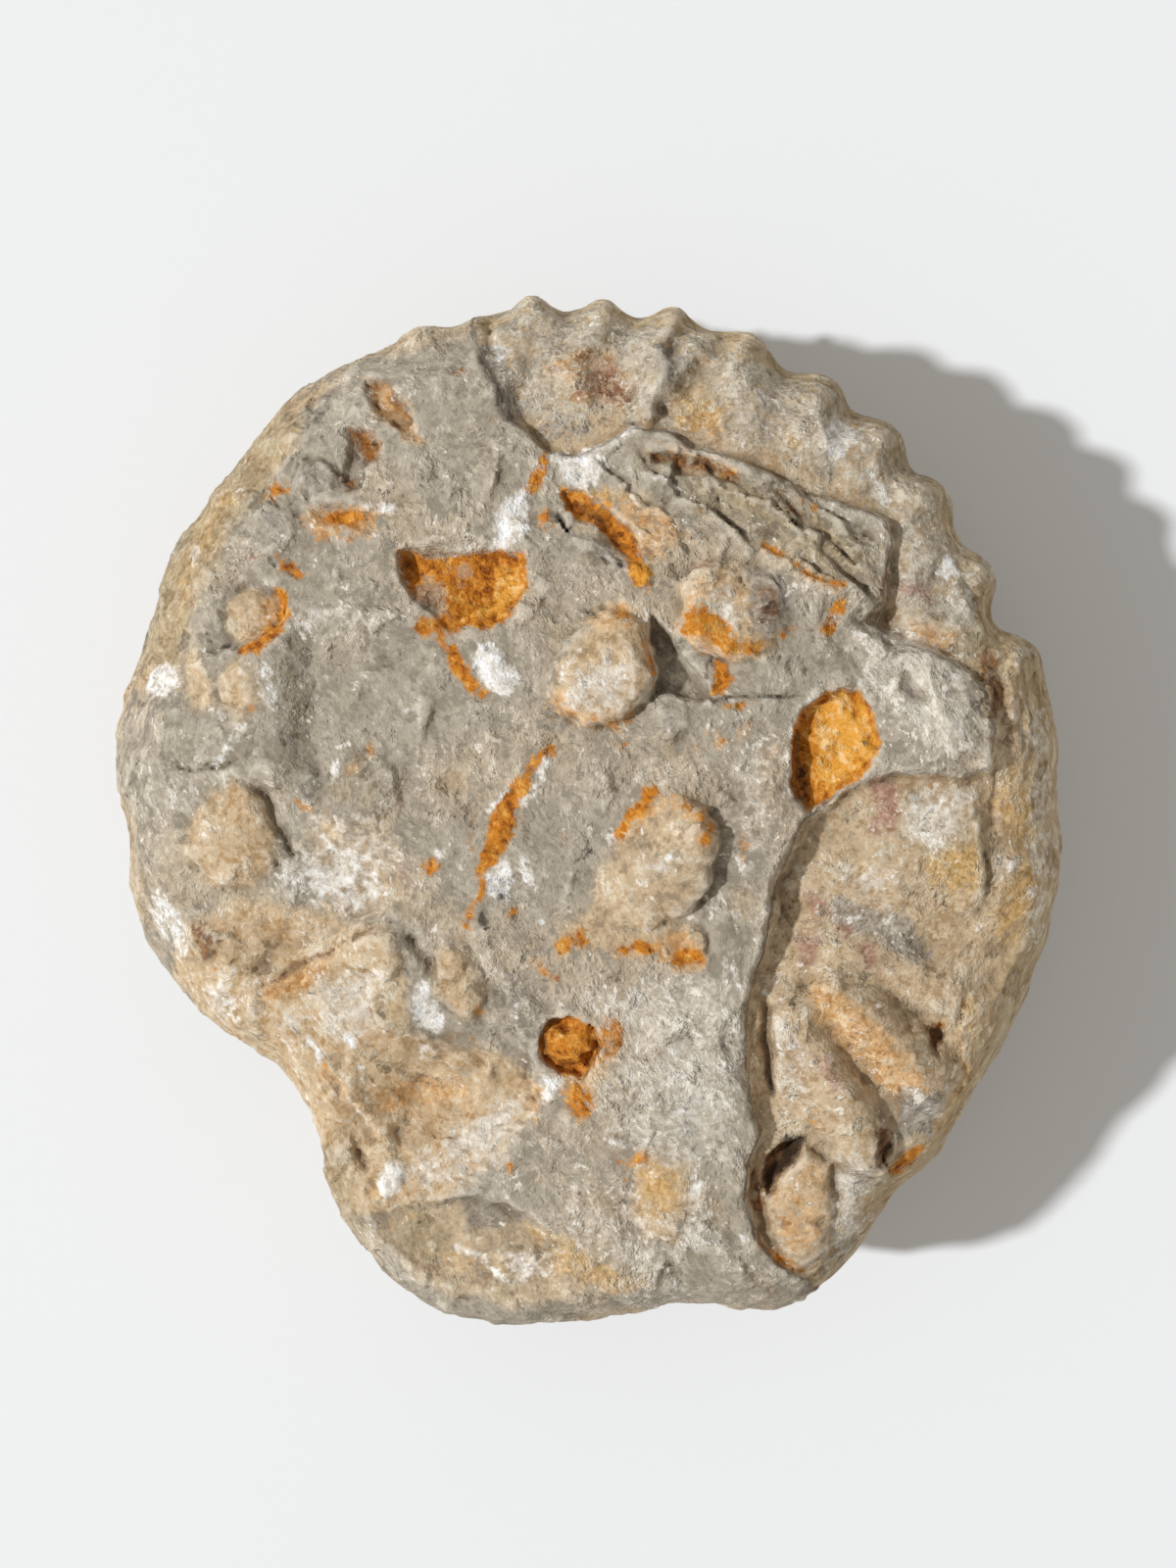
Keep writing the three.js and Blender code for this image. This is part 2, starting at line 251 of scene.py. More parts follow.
# Ribs of the upper flank, each from the slab out to the rim: the crest's points, how far it
# spreads to the left and to the right of the way they run, and its height.
RIBS = [
    ([(-8.5, 49), (-9.5, 53), (-9, 58)], 1.7, 1.7, 1.3),
    ([(-2.5, 47), (-1.5, 52), (-0.5, 56), (1.8, 61)], 2.2, 2.2, 1.2),
    ([(5.2, 44.4), (6.7, 46.4), (7.7, 50), (8, 54), (9.9, 59)], 2.4, 1.3, 2),
    ([(8.2, 47), (9.4, 49), (12.7, 53.8), (16, 57)], 2.2, 1.5, 1.7),
    ([(19.2, 41.4), (18, 45.4), (18.6, 50.5), (22, 55)], 3.2, 2.2, 1.1),
    ([(24.2, 41), (26, 45), (28.5, 49), (30, 52)], 2.4, 2.2, 0.9),
    ([(29.5, 38), (32.5, 41.5), (36.5, 46)], 2.4, 2.2, 0.9),
    ([(35, 36), (39, 37), (43, 39)], 2.4, 2, 1.1), ([(35, 28), (41, 29), (48.5, 30)], 2.6, 2.6, 0.9),
    ([(36.5, 22.6), (42, 21.5), (53, 19.8)], 2.4, 2.4, 0.9),
    ([(30, -3.5), (38, -5.5), (46, -7), (56, -8)], 3, 3, 0.7),
    ([(25.5, -10), (31.5, -15.5), (38.5, -19.5), (46, -23), (52, -26)], 3, 3, 0.9),
    ([(24.6, -19.4), (28, -21.2), (31.9, -24), (35.4, -27.8), (38.4, -31.8)], 4, 3, 3.1),
    ([(21.6, -19.6), (24, -23.4), (26.8, -27.8), (29.8, -32.4), (33, -38)], 2.1, 4.4, 3.2),
]

# The tips of the knobs round the rim, anticlockwise, and how far each stands out.
KNOBS = [
    ((53.4, 18.6), 2.2), ((48.5, 28.4), 2.7), ((42.5, 37.8), 3), ((36.4, 45.2), 3), ((29, 51.4), 3),
    ((19.4, 56.8), 2.7), ((10.6, 60), 2.5), ((1.6, 61.6), 2.5), ((-7.2, 62.4), 2.9), ((-14, 60), 1.2),
    ((-21.3, 58.4), 3.6), ((-27.8, 55), 0.7),
]
KNOB_LEVELS = (34, 23, 11)
KNOB_SPREAD = 2.3
KNOB_INSET = 2.4  # from a knob's tip in to its middle
VENTER_RIB = 0.35  # the height of the ribs over the rim, as a share of their knobs
LOWER_RIB = 1.1  # how much more the ribs stand out under the waist


def coil_angle(x, y):
    """The direction from the umbilicus in degrees, from -200 to 160, and the distance from it."""
    dx, dy = x - UMBILICUS[0], y - UMBILICUS[1]
    return np.mod(np.degrees(np.arctan2(dy, dx)) + 200, 360) - 200, np.hypot(dx, dy)


def rib_crests(x, y):
    """Ribs round the coil that end at the knobs: nearness to a crest, 0 to 1, and its knob's height."""
    angle, out = coil_angle(x, y)
    angle = angle + 0.2 * (out - 48)
    tips = [float(coil_angle(*tip)[0]) for tip, _ in KNOBS]
    before = [tips[0] - RIB_PITCH * n for n in range(18, 0, -1)]
    joined = [angle + 360 for angle in before[:2]]
    angles = before + tips + [0.5 * (tips[-1] + joined[0])] + joined
    pushes = [0.9] * 12 + [0.7, 0.5, 0.4, 0.5, 0.7, 1] + [push for _, push in KNOBS] + [0.9] * 3
    number = np.interp(angle, angles, np.arange(len(angles)))
    push = np.interp(angle, angles, pushes)
    return (0.5 + 0.5 * np.cos(2 * np.pi * number)) ** 1.3, push


# ---------------------------------------------------------------- what stands on or in the slab

# Outlines and paths that are both shaped and stained, or stained twice.
GREY_CHIP = [(7.4, 10.6), (8.6, 12.6), (10.6, 12.4), (11.5, 10), (10.2, 8), (8.2, 8.2)]
ROUND_FLAKE = [(-32, 2), (-30.6, 5.4), (-26, 7.2), (-22, 5), (-21.6, 1), (-26, -2.4)]
RUSTY_GASH = [(-36.2, 30.2), (-34.6, 29.6), (-32.2, 27.8), (-33.4, 27.2), (-35.6, 28.4)]
RUSTY_NICK = [(14.2, 13.2), (14.3, 17.5), (15.8, 17.2), (16.8, 15.2), (15.7, 13.4)]
LAYER_EDGE = [(20, 30.3), (23, 28.8), (25.5, 27.2), (28.8, 25.9)]

# What stands up: outline, height, how wide its rounded edge is, and how much higher it gets
# for each millimetre along X and along Y, as a share of the height.
RAISED = [
    # a small brachiopod, and a second one, steep on one side
    ([(-5.3, 13.4), (-4.8, 16.6), (-3.2, 19.6), (-1, 21.8), (1.4, 23.2), (3.8, 23.2), (5.8, 21.6),
      (7.2, 18.8), (7.8, 15.8), (6.8, 12.8), (4.2, 10.8), (-0.2, 9.6),
      (-3.4, 10.6)], 2.9, 4.4, 0.08, -0.02),
    ([(3.2, -2), (5.8, 1.4), (9.5, 2.6), (13, 1), (15, -2), (15.2, -5.6), (13.6, -8.8), (11.4, -11.4),
      (7, -13), (2, -12), (0.8, -7)], 1.9, 3, 0.11, 0.01),
    (GREY_CHIP, 0.8, 2, 0, 0),
    # a tan dome near the left rim, and a round flake beside it
    ([(-46.5, -1), (-44.5, 2.2), (-40.5, 4), (-37.6, 2), (-36, -1), (-36, -6), (-38.5, -8.4),
      (-43, -8.2), (-46.4, -5)], 1.5, 4.5, 0.02, 0),
    ([(-32, 1), (-31, 4.5), (-28, 6.6), (-24.5, 7), (-21.7, 4.8), (-21.6, 1.5), (-24, -1.5),
      (-28, -2.8), (-31, -1.5)], 0.7, 1.6, 0.06, 0),
    ([(-33.6, 2.2), (-32, 4.9), (-30.4, 4.2), (-30.4, 1.8), (-32.2, 0.6)], 0.6, 1, 0, 0),
    # a crushed shell, a brown shell, a yellow one and the ends of others
    ([(10, 20.6), (10.6, 26), (13, 29), (17, 28.8), (21, 26.4), (23.4, 22), (21.5, 18.6), (16, 17.2),
      (12, 18.3)], 1.4, 2.4, -0.07, 0.02),
    ([(-18.4, -18), (-17.4, -15.2), (-14.2, -14.8), (-12, -17.5), (-11.6, -21), (-12.6, -24),
      (-15.5, -23), (-17.6, -21)], 1.4, 3, 0.05, 0),
    ([(4.9, -40.4), (7.5, -38.2), (10.5, -39), (11.8, -42), (11.4, -46), (9.6, -49.4), (6.6, -49),
      (4.9, -45.5)], 0.6, 1.4, 0, 0),
    ([(-47.6, 18.6), (-45, 19.6), (-43.4, 16), (-42.4, 12.4), (-45, 11.6), (-46.6, 14)], 0.5, 1, 0, 0),
    ([(-42.4, 15.6), (-40.6, 18), (-38, 17), (-37.4, 13), (-39.4, 10.6), (-41.8, 12)], 0.6, 1.4, 0, 0),
    ([(-51, 12), (-47, 12.6), (-42, 10.4), (-40.4, 7.4), (-44.4, 5.6), (-49, 5.8)], 0.6, 1.2, 0, 0),
    ([(-41.6, 24.6), (-39, 26.4), (-36.4, 25), (-35.8, 22.4), (-37.4, 20.2), (-40.4, 19.6),
      (-42, 21.6)], 0.8, 2.2, 0, 0),
    ([(-34.2, 38.4), (-33.2, 41), (-30.8, 40.8), (-28.8, 39), (-29.4, 37), (-32, 36.4)], 0.7, 1.4, 0, 0),
    ([(-40, 31.4), (-38.4, 34.8), (-35, 35.2), (-33.4, 32.8), (-35, 30.4),
      (-38.4, 30)], 0.6, 0.8, 0.04, 0),
    ([(-34.4, 46.2), (-33, 47.6), (-30.8, 46.8), (-31.6, 45.6)], 0.5, 0.8, 0, 0),
    ([(-36, 43.6), (-34.6, 45), (-33.2, 43.8), (-34.4, 42.4)], 0.5, 0.8, 0, 0),
    ([(-2.2, 32), (0.4, 31.4), (3.6, 29), (4, 28), (1, 29.2), (-1.8, 31)], 0.6, 0.5, 0, 0),
    ([(-24.4, -42), (-23, -40.4), (-21.2, -40.8), (-21.4, -43), (-23.4, -44.4)], 0.9, 1.2, 0, 0),
    ([(-24.6, -36.6), (-23.6, -35.8), (-21.8, -38.6), (-22.6, -40), (-24.4, -38.8)], 0.7, 0.8, 0, 0),
    ([(-12.8, 18.4), (-10.4, 19), (-8, 15.8), (-9.4, 13.4), (-11, 14.2)], 0.5, 1.2, 0, 0),
    ([(20.8, -39.4), (24, -38), (28.4, -40.4), (28.2, -46), (27.6, -51), (24, -52.4), (20.8, -49),
      (19.8, -44)], 1.6, 2, 0.02, 0),
    ([(-46, -12.4), (-42.6, -14), (-42, -16.4), (-44.6, -17.6), (-46.8, -15.6)], 0.6, 0.6, -0.1, 0),
    ([(4.6, 28.6), (6.4, 29), (7.8, 27), (6.8, 25.4), (5, 26.4)], 0.7, 1, 0, 0),
    ([(29, 30.4), (30.6, 31.4), (32.2, 30), (30.8, 28.6)], 0.7, 0.5, -0.1, 0),
]

# What is sunk: outline, depth, how wide its walls are, and how much deeper it gets along X and Y.
SUNK = [
    ([(-22, 30.4), (-18, 30.4), (-14, 29.8), (-10.5, 30.6), (-7.8, 30), (-6.8, 26.4), (-8, 23),
      (-11.2, 21), (-15.4, 21), (-18.8, 23.2), (-21.4, 26.8)], 2.3, 3.2, -0.02, 0.07),
    ([(24, 12.4), (27, 14.2), (30.5, 14), (32.8, 11), (33.6, 8), (31, 4.2), (27.5, 1), (24.6, 0.2),
      (23, 3.5), (22.8, 8.5)], 2.2, 1.7, -0.13, 0),
    ([(-5.3, -26.4), (-4.6, -23.6), (-2, -22.9), (0.4, -23.6), (1.4, -26.5), (0.6, -29.4), (-1, -30.5),
      (-3.4, -29.6), (-4.8, -28.2)], 2.2, 0.8, 0, 0),
    ([(-43, 23), (-42, 26.6), (-39, 27.7), (-35.4, 26.2), (-34.6, 22.5), (-36.2, 19.4), (-40, 18.4),
      (-42.4, 19.6)], 1, 2, 0.14, 0),
    ([(-26, 50.6), (-23.4, 50.6), (-20.8, 47.2), (-19.6, 43), (-21.4, 43.2), (-24.4, 46.2),
      (-26, 48.6)], 1.3, 1.4, -0.1, 0.05),
    ([(-28.6, 44.6), (-25.6, 44.6), (-23.4, 43), (-23.8, 40.8), (-25.6, 39.6), (-26.8, 36.8),
      (-28.6, 38.2), (-27.8, 41)], 1, 1.1, 0, 0),
    ([(-32.4, 35), (-30, 36.2), (-26.5, 35.4), (-24.4, 33.6), (-27, 32.8),
      (-30.5, 33.2)], 0.8, 0.9, 0, 0),
    (RUSTY_GASH, 0.6, 0.7, 0, 0),
    ([(6.6, 41.4), (11, 41.4), (18, 38.8), (17.4, 37.8), (12, 38.4), (7.6, 39.8)], 1, 0.7, 0, 0),
    ([(-3.6, 37.4), (-0.6, 37.2), (2.4, 34.8), (5.4, 31.4), (6.6, 28.8), (4.4, 29), (1.6, 31.4),
      (-1.4, 33.8)], 1.2, 1.1, 0, 0),
    ([(-3.5, 34), (-2.8, 33.9), (-2, 32), (-2.8, 32)], 1, 0.4, 0, 0),
    ([(6.8, 23), (9.6, 21.4), (11.5, 16.8), (14.7, 13.2), (12.4, 12.8), (9.4, 13.8), (7.4, 13),
      (7.2, 18)], 1.9, 1.2, -0.08, 0),
    (RUSTY_NICK, 0.5, 0.5, 0, 0),
    ([(-24.4, -46), (-20, -45.1), (-16, -44), (-12.5, -43.8), (-8.5, -45), (-5, -47.4), (-2.6, -50),
      (-6, -50.8), (-9.5, -53), (-12, -55), (-17, -54), (-21.5, -51.5),
      (-24.2, -49)], 1.3, 2.6, 0.02, 0.05),
    ([(15.2, -23.6), (16.6, -22.6), (17.6, -25), (17.8, -28.6), (16.4, -29.4),
      (15.2, -26.6)], 0.9, 0.9, 0, 0),
    ([(20.2, -42.6), (20.8, -40), (22.2, -37.6), (24.4, -37.2), (24.6, -39), (23, -41.4), (22, -43.4),
      (20.8, -43.8)], 3, 0.9, 0, 0),
    ([(38.8, -24.4), (40, -25), (41, -23.8), (41.6, -26), (40.2, -26.8), (40.4, -28.6),
      (39, -27)], 1, 0.7, 0, 0),
    ([(33.4, -36), (34.8, -36.6), (35.2, -39.4), (34, -40.6), (33, -39)], 1.6, 0.8, 0, 0),
    ([(-17.6, 2.4), (-16.6, 5), (-14, 4.8), (-13.6, 2.6), (-15.4, 1.8)], 0.4, 0.5, 0, 0),
]
NODULE = ([(-5, -26.2), (-4.2, -24), (-2.2, -24.4), (0, -23.4), (1, -26.6), (-0.4, -27.6), (-0.2, -29.6),
           (-2.6, -29.2), (-4.4, -28)], 2.3, 1.1)

# Wide hollows and swellings with no edge: middle, half sizes, turn, height.
SWELLS = [
    ((-19, -33.5), (10, 5.4), 20, -5.2), ((-34, -18), (7, 3.4), 15, -2), ((24, 16), (9, 8), 0, 0.7),
    ((40, 10), (7, 6), 0, 1), ((15, -34), (8, 10), 0, 0.6), ((5, 49.5), (5, 3.5), 0, -1.1),
    ((-5, 45), (5, 2), -30, -0.8), ((11.2, 52.3), (2, 2.2), 0, -0.7), ((15, 47), (2.4, 3), 0, -0.8),
    ((34.5, 21.6), (2.2, 1.8), 0, -1.6), ((33, -14), (9, 1.8), -24, -0.8),
    ((38, -23.4), (4.4, 1.6), -40, -1.2), ((41, -12), (6, 4), -60, -0.4),
    ((-24.5, -14.5), (5.5, 2.2), 0, 1.3), ((-30, -8), (5, 3.4), -10, 0.6),
    ((27, 42.5), (3.4, 2.2), 20, 0.8), ((38, 31), (3.4, 2), 20, 0.7), ((41, 24.6), (2.2, 2.6), 0, -0.7),
]

# Broken steps: the left side of each path is raised by height over width, and dies away at reach.
STEPS = [
    ([(-31, 2), (-31.2, 9), (-31.4, 14), (-32, 20), (-33, 23)], 2.7, 4.8, 14),
    ([(19.5, 29.5), (18.3, 30.6), (17.4, 32.4), (15.2, 34), (14.8, 35.6), (13.4, 38.2)], 0.8, 0.5, 5),
    ([(33.3, 24.2), (30.6, 26.6), (28.6, 28.4), (26.6, 30.6), (25.6, 33.8)], 1.3, 0.6, 4),
    ([(25.2, 33.6), (23.4, 35.2), (21.4, 37), (20.1, 39)], 0.7, 0.5, 4),
    ([(-5.3, -30.8), (-7.6, -24.5), (-10, -19.2), (-12.6, -15.6)], -0.7, 0.7, 7),
    ([(8, 24.5), (10, 27), (9.4, 30), (12, 33.5)], 0.5, 0.5, 5),
    ([(-6, 8), (-10.5, 9.5), (-10.8, 13)], 0.4, 0.4, 4),
    ([(-4.4, -24), (-3.4, -21), (-4.4, -19.4), (-9, -16)], -0.4, 0.4, 3),
    ([(29, 25.6), (25.4, 27.4), (22.6, 29), (19.4, 30.4)], 0.6, 0.5, 3),
    ([(-7, 31), (-12, 31.4), (-20, 31.4), (-22.4, 30)], -0.8, 0.6, 2.5),
    ([(-12, 24.6), (-8, 20.6), (-6, 22.4), (-4, 27)], 0.6, 0.6, 3),
    ([(-19.6, -27.4), (-14, -26.2), (-9.6, -27.4), (-6, -30.6)], -0.8, 1, 5),
    ([(-29, -30), (-28.6, -33), (-26, -35.6), (-25, -38)], 1, 1, 4),
    ([(-39, -20.4), (-34, -17), (-30, -15.8), (-26, -13.2), (-22, -12.2)], -2, 1.6, 6),
    ([(-22.4, -19.6), (-21, -16.4), (-21.2, -13.2)], 1.4, 1.4, 5),
    ([(45.2, -13), (46, -8), (45.2, -2), (45.2, 4)], 0.9, 0.9, 3.4),
    ([(32, 22.6), (37, 19.6), (43, 17)], -0.8, 0.6, 4),
    ([(34.4, 37.6), (38.6, 34.4), (42.2, 31), (44.6, 24), (44.4, 19.6)], 0.9, 1.2, 4),
    ([(-12.6, 53.4), (-10.6, 49.8), (-9.4, 46)], 0.7, 1.6, 3),
    ([(2, 2.6), (0, -4), (-1.6, -5.6), (-4, -11)], 0.4, 0.4, 3),
    ([(-35, 20.4), (-30, 22), (-24, 21), (-21, 22.6)], 0.5, 0.6, 3),
    ([(-40, 42), (-36, 36.4), (-33.8, 34), (-33, 30)], -0.5, 0.6, 4),
    ([(34, 6), (30, 12), (29.4, 16), (24, 18.6)], 0.5, 0.7, 4),
    # facets of the lobe at the right, and of the flank over it
    ([(36, 17.6), (38.6, 13), (40, 8.6), (41, 5.2)], 0.9, 0.8, 4),
    ([(34.6, 13.6), (38, 12.6), (42, 13.4), (44.6, 12)], -0.8, 0.7, 3.4),
    ([(45, 17.6), (45.6, 13), (45.2, 8), (44.4, 5)], 1.2, 0.8, 3),
    ([(48.6, 20), (48.2, 15), (48.8, 10)], 0.9, 0.7, 3),
    ([(22, 48), (26, 45.6), (27, 41.4)], 0.8, 0.7, 3),
    ([(31, 46.6), (32.6, 43), (31.6, 39)], 0.8, 0.7, 3), ([(37, 40), (37.4, 36), (36, 33)], 0.7, 0.7, 3),
    ([(12.6, 53.6), (10.4, 50.4), (9, 48.4), (7.5, 46.4)], -1, 0.6, 3),
    ([(39, 27), (43, 26.4), (45.4, 23.6)], -0.7, 0.6, 3),
    # the crags beside the pit on the shell's right
    ([(38.6, -21.6), (41.6, -24), (42.4, -28.4), (41.4, -31)], 0.8, 0.6, 2.6),
    ([(-30, -14.4), (-26, -19), (-24.6, -24), (-21, -26)], 0.7, 0.8, 3.4),
]

# Cracks: points, half width and depth.
CRACKS = [
    ([(-39.4, 5.4), (-37, 1.6), (-35.2, -2), (-33.6, -4.6), (-31.6, -5)], 0.9, 1.1),
    ([(-48.2, 5.2), (-45.6, 4.8), (-43, 5.3), (-40, 6.2), (-38, 8.2)], 0.7, 0.9),
    ([(14.2, 12.8), (17, 13.3), (19.2, 13), (22, 13), (24.6, 13.4)], 0.4, 0.8),
    ([(29, 23.6), (32, 21.3), (34, 20), (36, 19.3), (39, 18.3), (42.6, 16.4)], 0.7, 1.3),
    ([(-20.9, -13), (-19.6, -15), (-18.3, -17), (-17.9, -19.4)], 1.2, 1.5),
    ([(-38.6, -20.8), (-34, -17.4), (-30, -16.2), (-26, -13.6), (-22.6, -12.6)], 0.7, 1.1),
    ([(13, 37.6), (14.8, 34.6), (18.5, 31.2), (22, 29.4), (26, 27.4)], 0.4, 0.7),
    ([(27.6, 29), (30.6, 26.2), (33.4, 23.8)], 0.6, 1), ([(20, 36.6), (24, 33), (27, 29.6)], 0.35, 0.6),
    ([(6, 34.2), (10, 32.4), (14, 29.8)], 0.35, 0.5),
    ([(8, 38.6), (13, 36.4), (18, 35.4), (23, 32.2)], 0.35, 0.5),
    ([(20.4, -20.8), (20.5, -23), (20.4, -26), (21.2, -30), (21.7, -34)], 0.9, 2.2),
    ([(-25.2, -41.4), (-25.8, -40), (-27.5, -38.6)], 0.6, 1),
    ([(45, -3.4), (45.8, -7), (46.2, -9)], 0.4, 0.6), ([(-9.6, 9.4), (-9, 7), (-8.6, 5.4)], 0.35, 0.4),
    ([(-33.6, 41.4), (-31, 41.2), (-29.2, 40)], 0.4, 0.7),
    ([(11.3, -12), (13.2, -13), (14.2, -14.4), (13.8, -16)], 0.6, 0.8),
    ([(10.6, 20.4), (12.6, 18), (15, 17.4)], 0.4, 0.5), ([(2, 40.4), (4.8, 43.6)], 0.4, 0.6),
    ([(-29.6, -29.6), (-28.9, -31.6), (-28.8, -33)], 0.4, 0.7), ([(36.4, -36.6), (39, -33.4)], 0.4, 0.6),
    ([(-1.6, -5.6), (0.6, -4.2)], 0.35, 0.5),
    ([(24.4, 37.6), (28, 34.6), (31.4, 33), (33.6, 29.4)], 0.35, 0.6),
    ([(12, 42), (17, 38.2), (22, 36.4), (25.4, 33)], 0.35, 0.6),
    ([(16, 28.8), (18.6, 25), (18.4, 21)], 0.4, 0.6),
    ([(11, 24.6), (14.6, 23.4), (17.6, 25.2)], 0.35, 0.5),
    ([(46.4, 19), (46.8, 14), (46.2, 9), (46.6, 2), (46, -5)], 0.5, 0.7),
    ([(43.4, -20), (42.6, -25), (43.4, -30), (41.6, -34)], 0.6, 0.9),
]

# Where the slab splits into thin layers that overlap like slates.
LAYERED = [
    [(-3, 40.6), (8, 43), (22, 39), (34, 34), (33, 25), (27, 24), (20, 29.6), (13, 33), (7, 31), (0, 38)],
    [(-22, 33), (-12, 33), (-6, 30), (-4, 24), (-9, 20), (-8, 31), (-20, 31)],
    [(21, -48), (28, -50), (33, -40), (30, -38), (28.6, -44), (22, -52)],
]
LAYER_PITCH = 3.4  # between the layers' broken edges
LAYER_RISE = 1

PATCH_MIDDLE = (-22, -24)  # a round patch of slab on the hidden side
PATCH_RADIUS = 35
WOBBLE = 0.6  # how far drawn outlines wander

# A plate: how its edges bend and its middle strays, in cells, how high it may lie, and its tilt.
PLATE_BEND = 0.28
PLATE_WANDER = 0.35
PLATE_LEVEL = 0.5
PLATE_TILT = 0.5

# Over what share of its length a step, and a crack, grows at each end.
STEP_END = (0, 0.12)
CRACK_END = (-0.05, 0.25)


def wobbled(x, y):
    """The arrays x and y pushed about a little, so that what is drawn with them has ragged edges."""
    push_x, push_y = (WOBBLE * plan_fractal(x, y, 5, seed, 3, 0.6) for seed in (3, 4))
    return x + push_x, y + push_y


def bevelled(x, y, outline, width, lean_x=0.0, lean_y=0.0):
    """1 inside an outline and 0 outside it, rounded off over width, and leaning about its middle."""
    along = np.clip(inwards(x, y, outline) / width, 0, 1)
    middle_x, middle_y = np.mean(outline, axis=0)
    lean = 1 + lean_x * (x - middle_x) + lean_y * (y - middle_y)
    return np.sqrt(along * (2 - along)) * np.clip(lean, 0, 2)


def plates(x, y, cell, seed):
    """Broken plates about cell across, each with its own level and tilt, with small cliffs between."""
    bend = [plan_fractal(x, y, 0.9 * cell, seed + k, 3, 0.6) for k in (1, 2)]
    a, b = x / cell + PLATE_BEND * bend[0], y / cell + PLATE_BEND * bend[1]
    nearest = np.full(x.shape, np.inf)
    level = np.zeros(x.shape)
    for right, up in itertools.product((-1, 0, 1), repeat=2):
        column, line = np.floor(a).astype(np.int64) + right, np.floor(b).astype(np.int64) + up
        row = gradient_rows(np.stack([column, line], axis=-1), seed)
        across = a - column - 0.5 - PLATE_WANDER * GRADIENTS[row, 0]
        along = b - line - 0.5 - PLATE_WANDER * GRADIENTS[row, 1]
        distance = np.hypot(across, along)
        closer = distance < nearest
        nearest = np.where(closer, distance, nearest)
        slope = across * GRADIENTS[row - 7, 0] + along * GRADIENTS[row - 7, 1]
        level = np.where(closer, PLATE_LEVEL * GRADIENTS[row - 3, 2] + PLATE_TILT * slope, level)
    return level


def layers(x, y):
    """From 0 to 1 across each thin layer, up to its broken edge."""
    across = 0.57 * x + 0.82 * y + 1.8 * plan_fractal(x, y, 9, 61)
    return np.mod(across / LAYER_PITCH, 1)


def upper_level(x, y):
    """The level of the upper side before its rim is rounded."""
    crown = CROWN - 0.0018 * (x - 10) ** 2 - 0.0015 * (y + 2) ** 2
    outside, drop, wall = slab_side(x, y)
    bare = np.clip(0.3 + outside / wall, 0, 1)
    level = crown - drop * bare
    for path, left, right, height in RIBS:
        distance, along = path_measures(x, y, path)
        crest = np.exp(-np.abs(distance / np.where(distance > 0, left, right)) ** 3)
        level = level + height * bare * crest * smoothstep(along, -0.05, 0.22)
    dome = np.zeros(x.shape)
    for outline, height, width, *lean in RAISED:
        dome = np.maximum(dome, height * bevelled(x, y, outline, width, *lean))
    level = level + dome
    hollow = np.zeros(x.shape)
    for outline, depth, width, *lean in SUNK:
        hollow = np.maximum(hollow, depth * bevelled(x, y, outline, width, *lean))
    outline, height, width = NODULE
    level = level - hollow + height * bevelled(x, y, outline, width)
    for at, half, turn, height in SWELLS:
        level = level + height * np.exp(-reach(x, y, at, half, turn) ** 2)
    for path, height, width, fade in STEPS:
        distance, along = path_measures(x, y, path)
        rise = height * tapered(along, *STEP_END) * np.clip(distance / width, 0, 1)
        level = level + rise * np.exp(-((distance / fade) ** 2))
    for path, half_width, depth in CRACKS:
        distance, along = path_measures(x, y, path)
        nearness = np.clip(1 - np.abs(distance) / half_width, 0, 1)
        level = level - depth * tapered(along, *CRACK_END) * nearness
    rough = 1 - 0.5 * bare
    level = level + rough * (0.4 * plates(x, y, 9, 51) + 0.26 * plates(x, y, 3.6, 55))
    split = np.max([smoothstep(inwards(x, y, outline), -1, 2.5) for outline in LAYERED], axis=0)
    return level + LAYER_RISE * (layers(x, y) - 0.5) * split


def outside_patch(x, y):
    """1 where the hidden side is bare shell, and 0 on its patch of slab."""
    distance = np.hypot(x - PATCH_MIDDLE[0], y - PATCH_MIDDLE[1])
    return smoothstep(distance, PATCH_RADIUS, PATCH_RADIUS + 3)


def lower_level(x, y):
    """The level of the hidden side: a flank ribbed round a sunken umbilicus, with a patch of slab."""
    crest, _ = rib_crests(x, y)
    _, out = coil_angle(x, y)
    flank = 0.009 * (out - 35) ** 2 + 2 * (1 - crest) * smoothstep(out, 16, 30)
    sunk = 5 * (1 - smoothstep(out, 14, 20))
    whorl = 2.2 * np.exp(-(((out - 10) / 4.5) ** 2))
    return np.minimum(-1 + outside_patch(x, y) * (flank + sunk - whorl), 0.6 * WAIST)
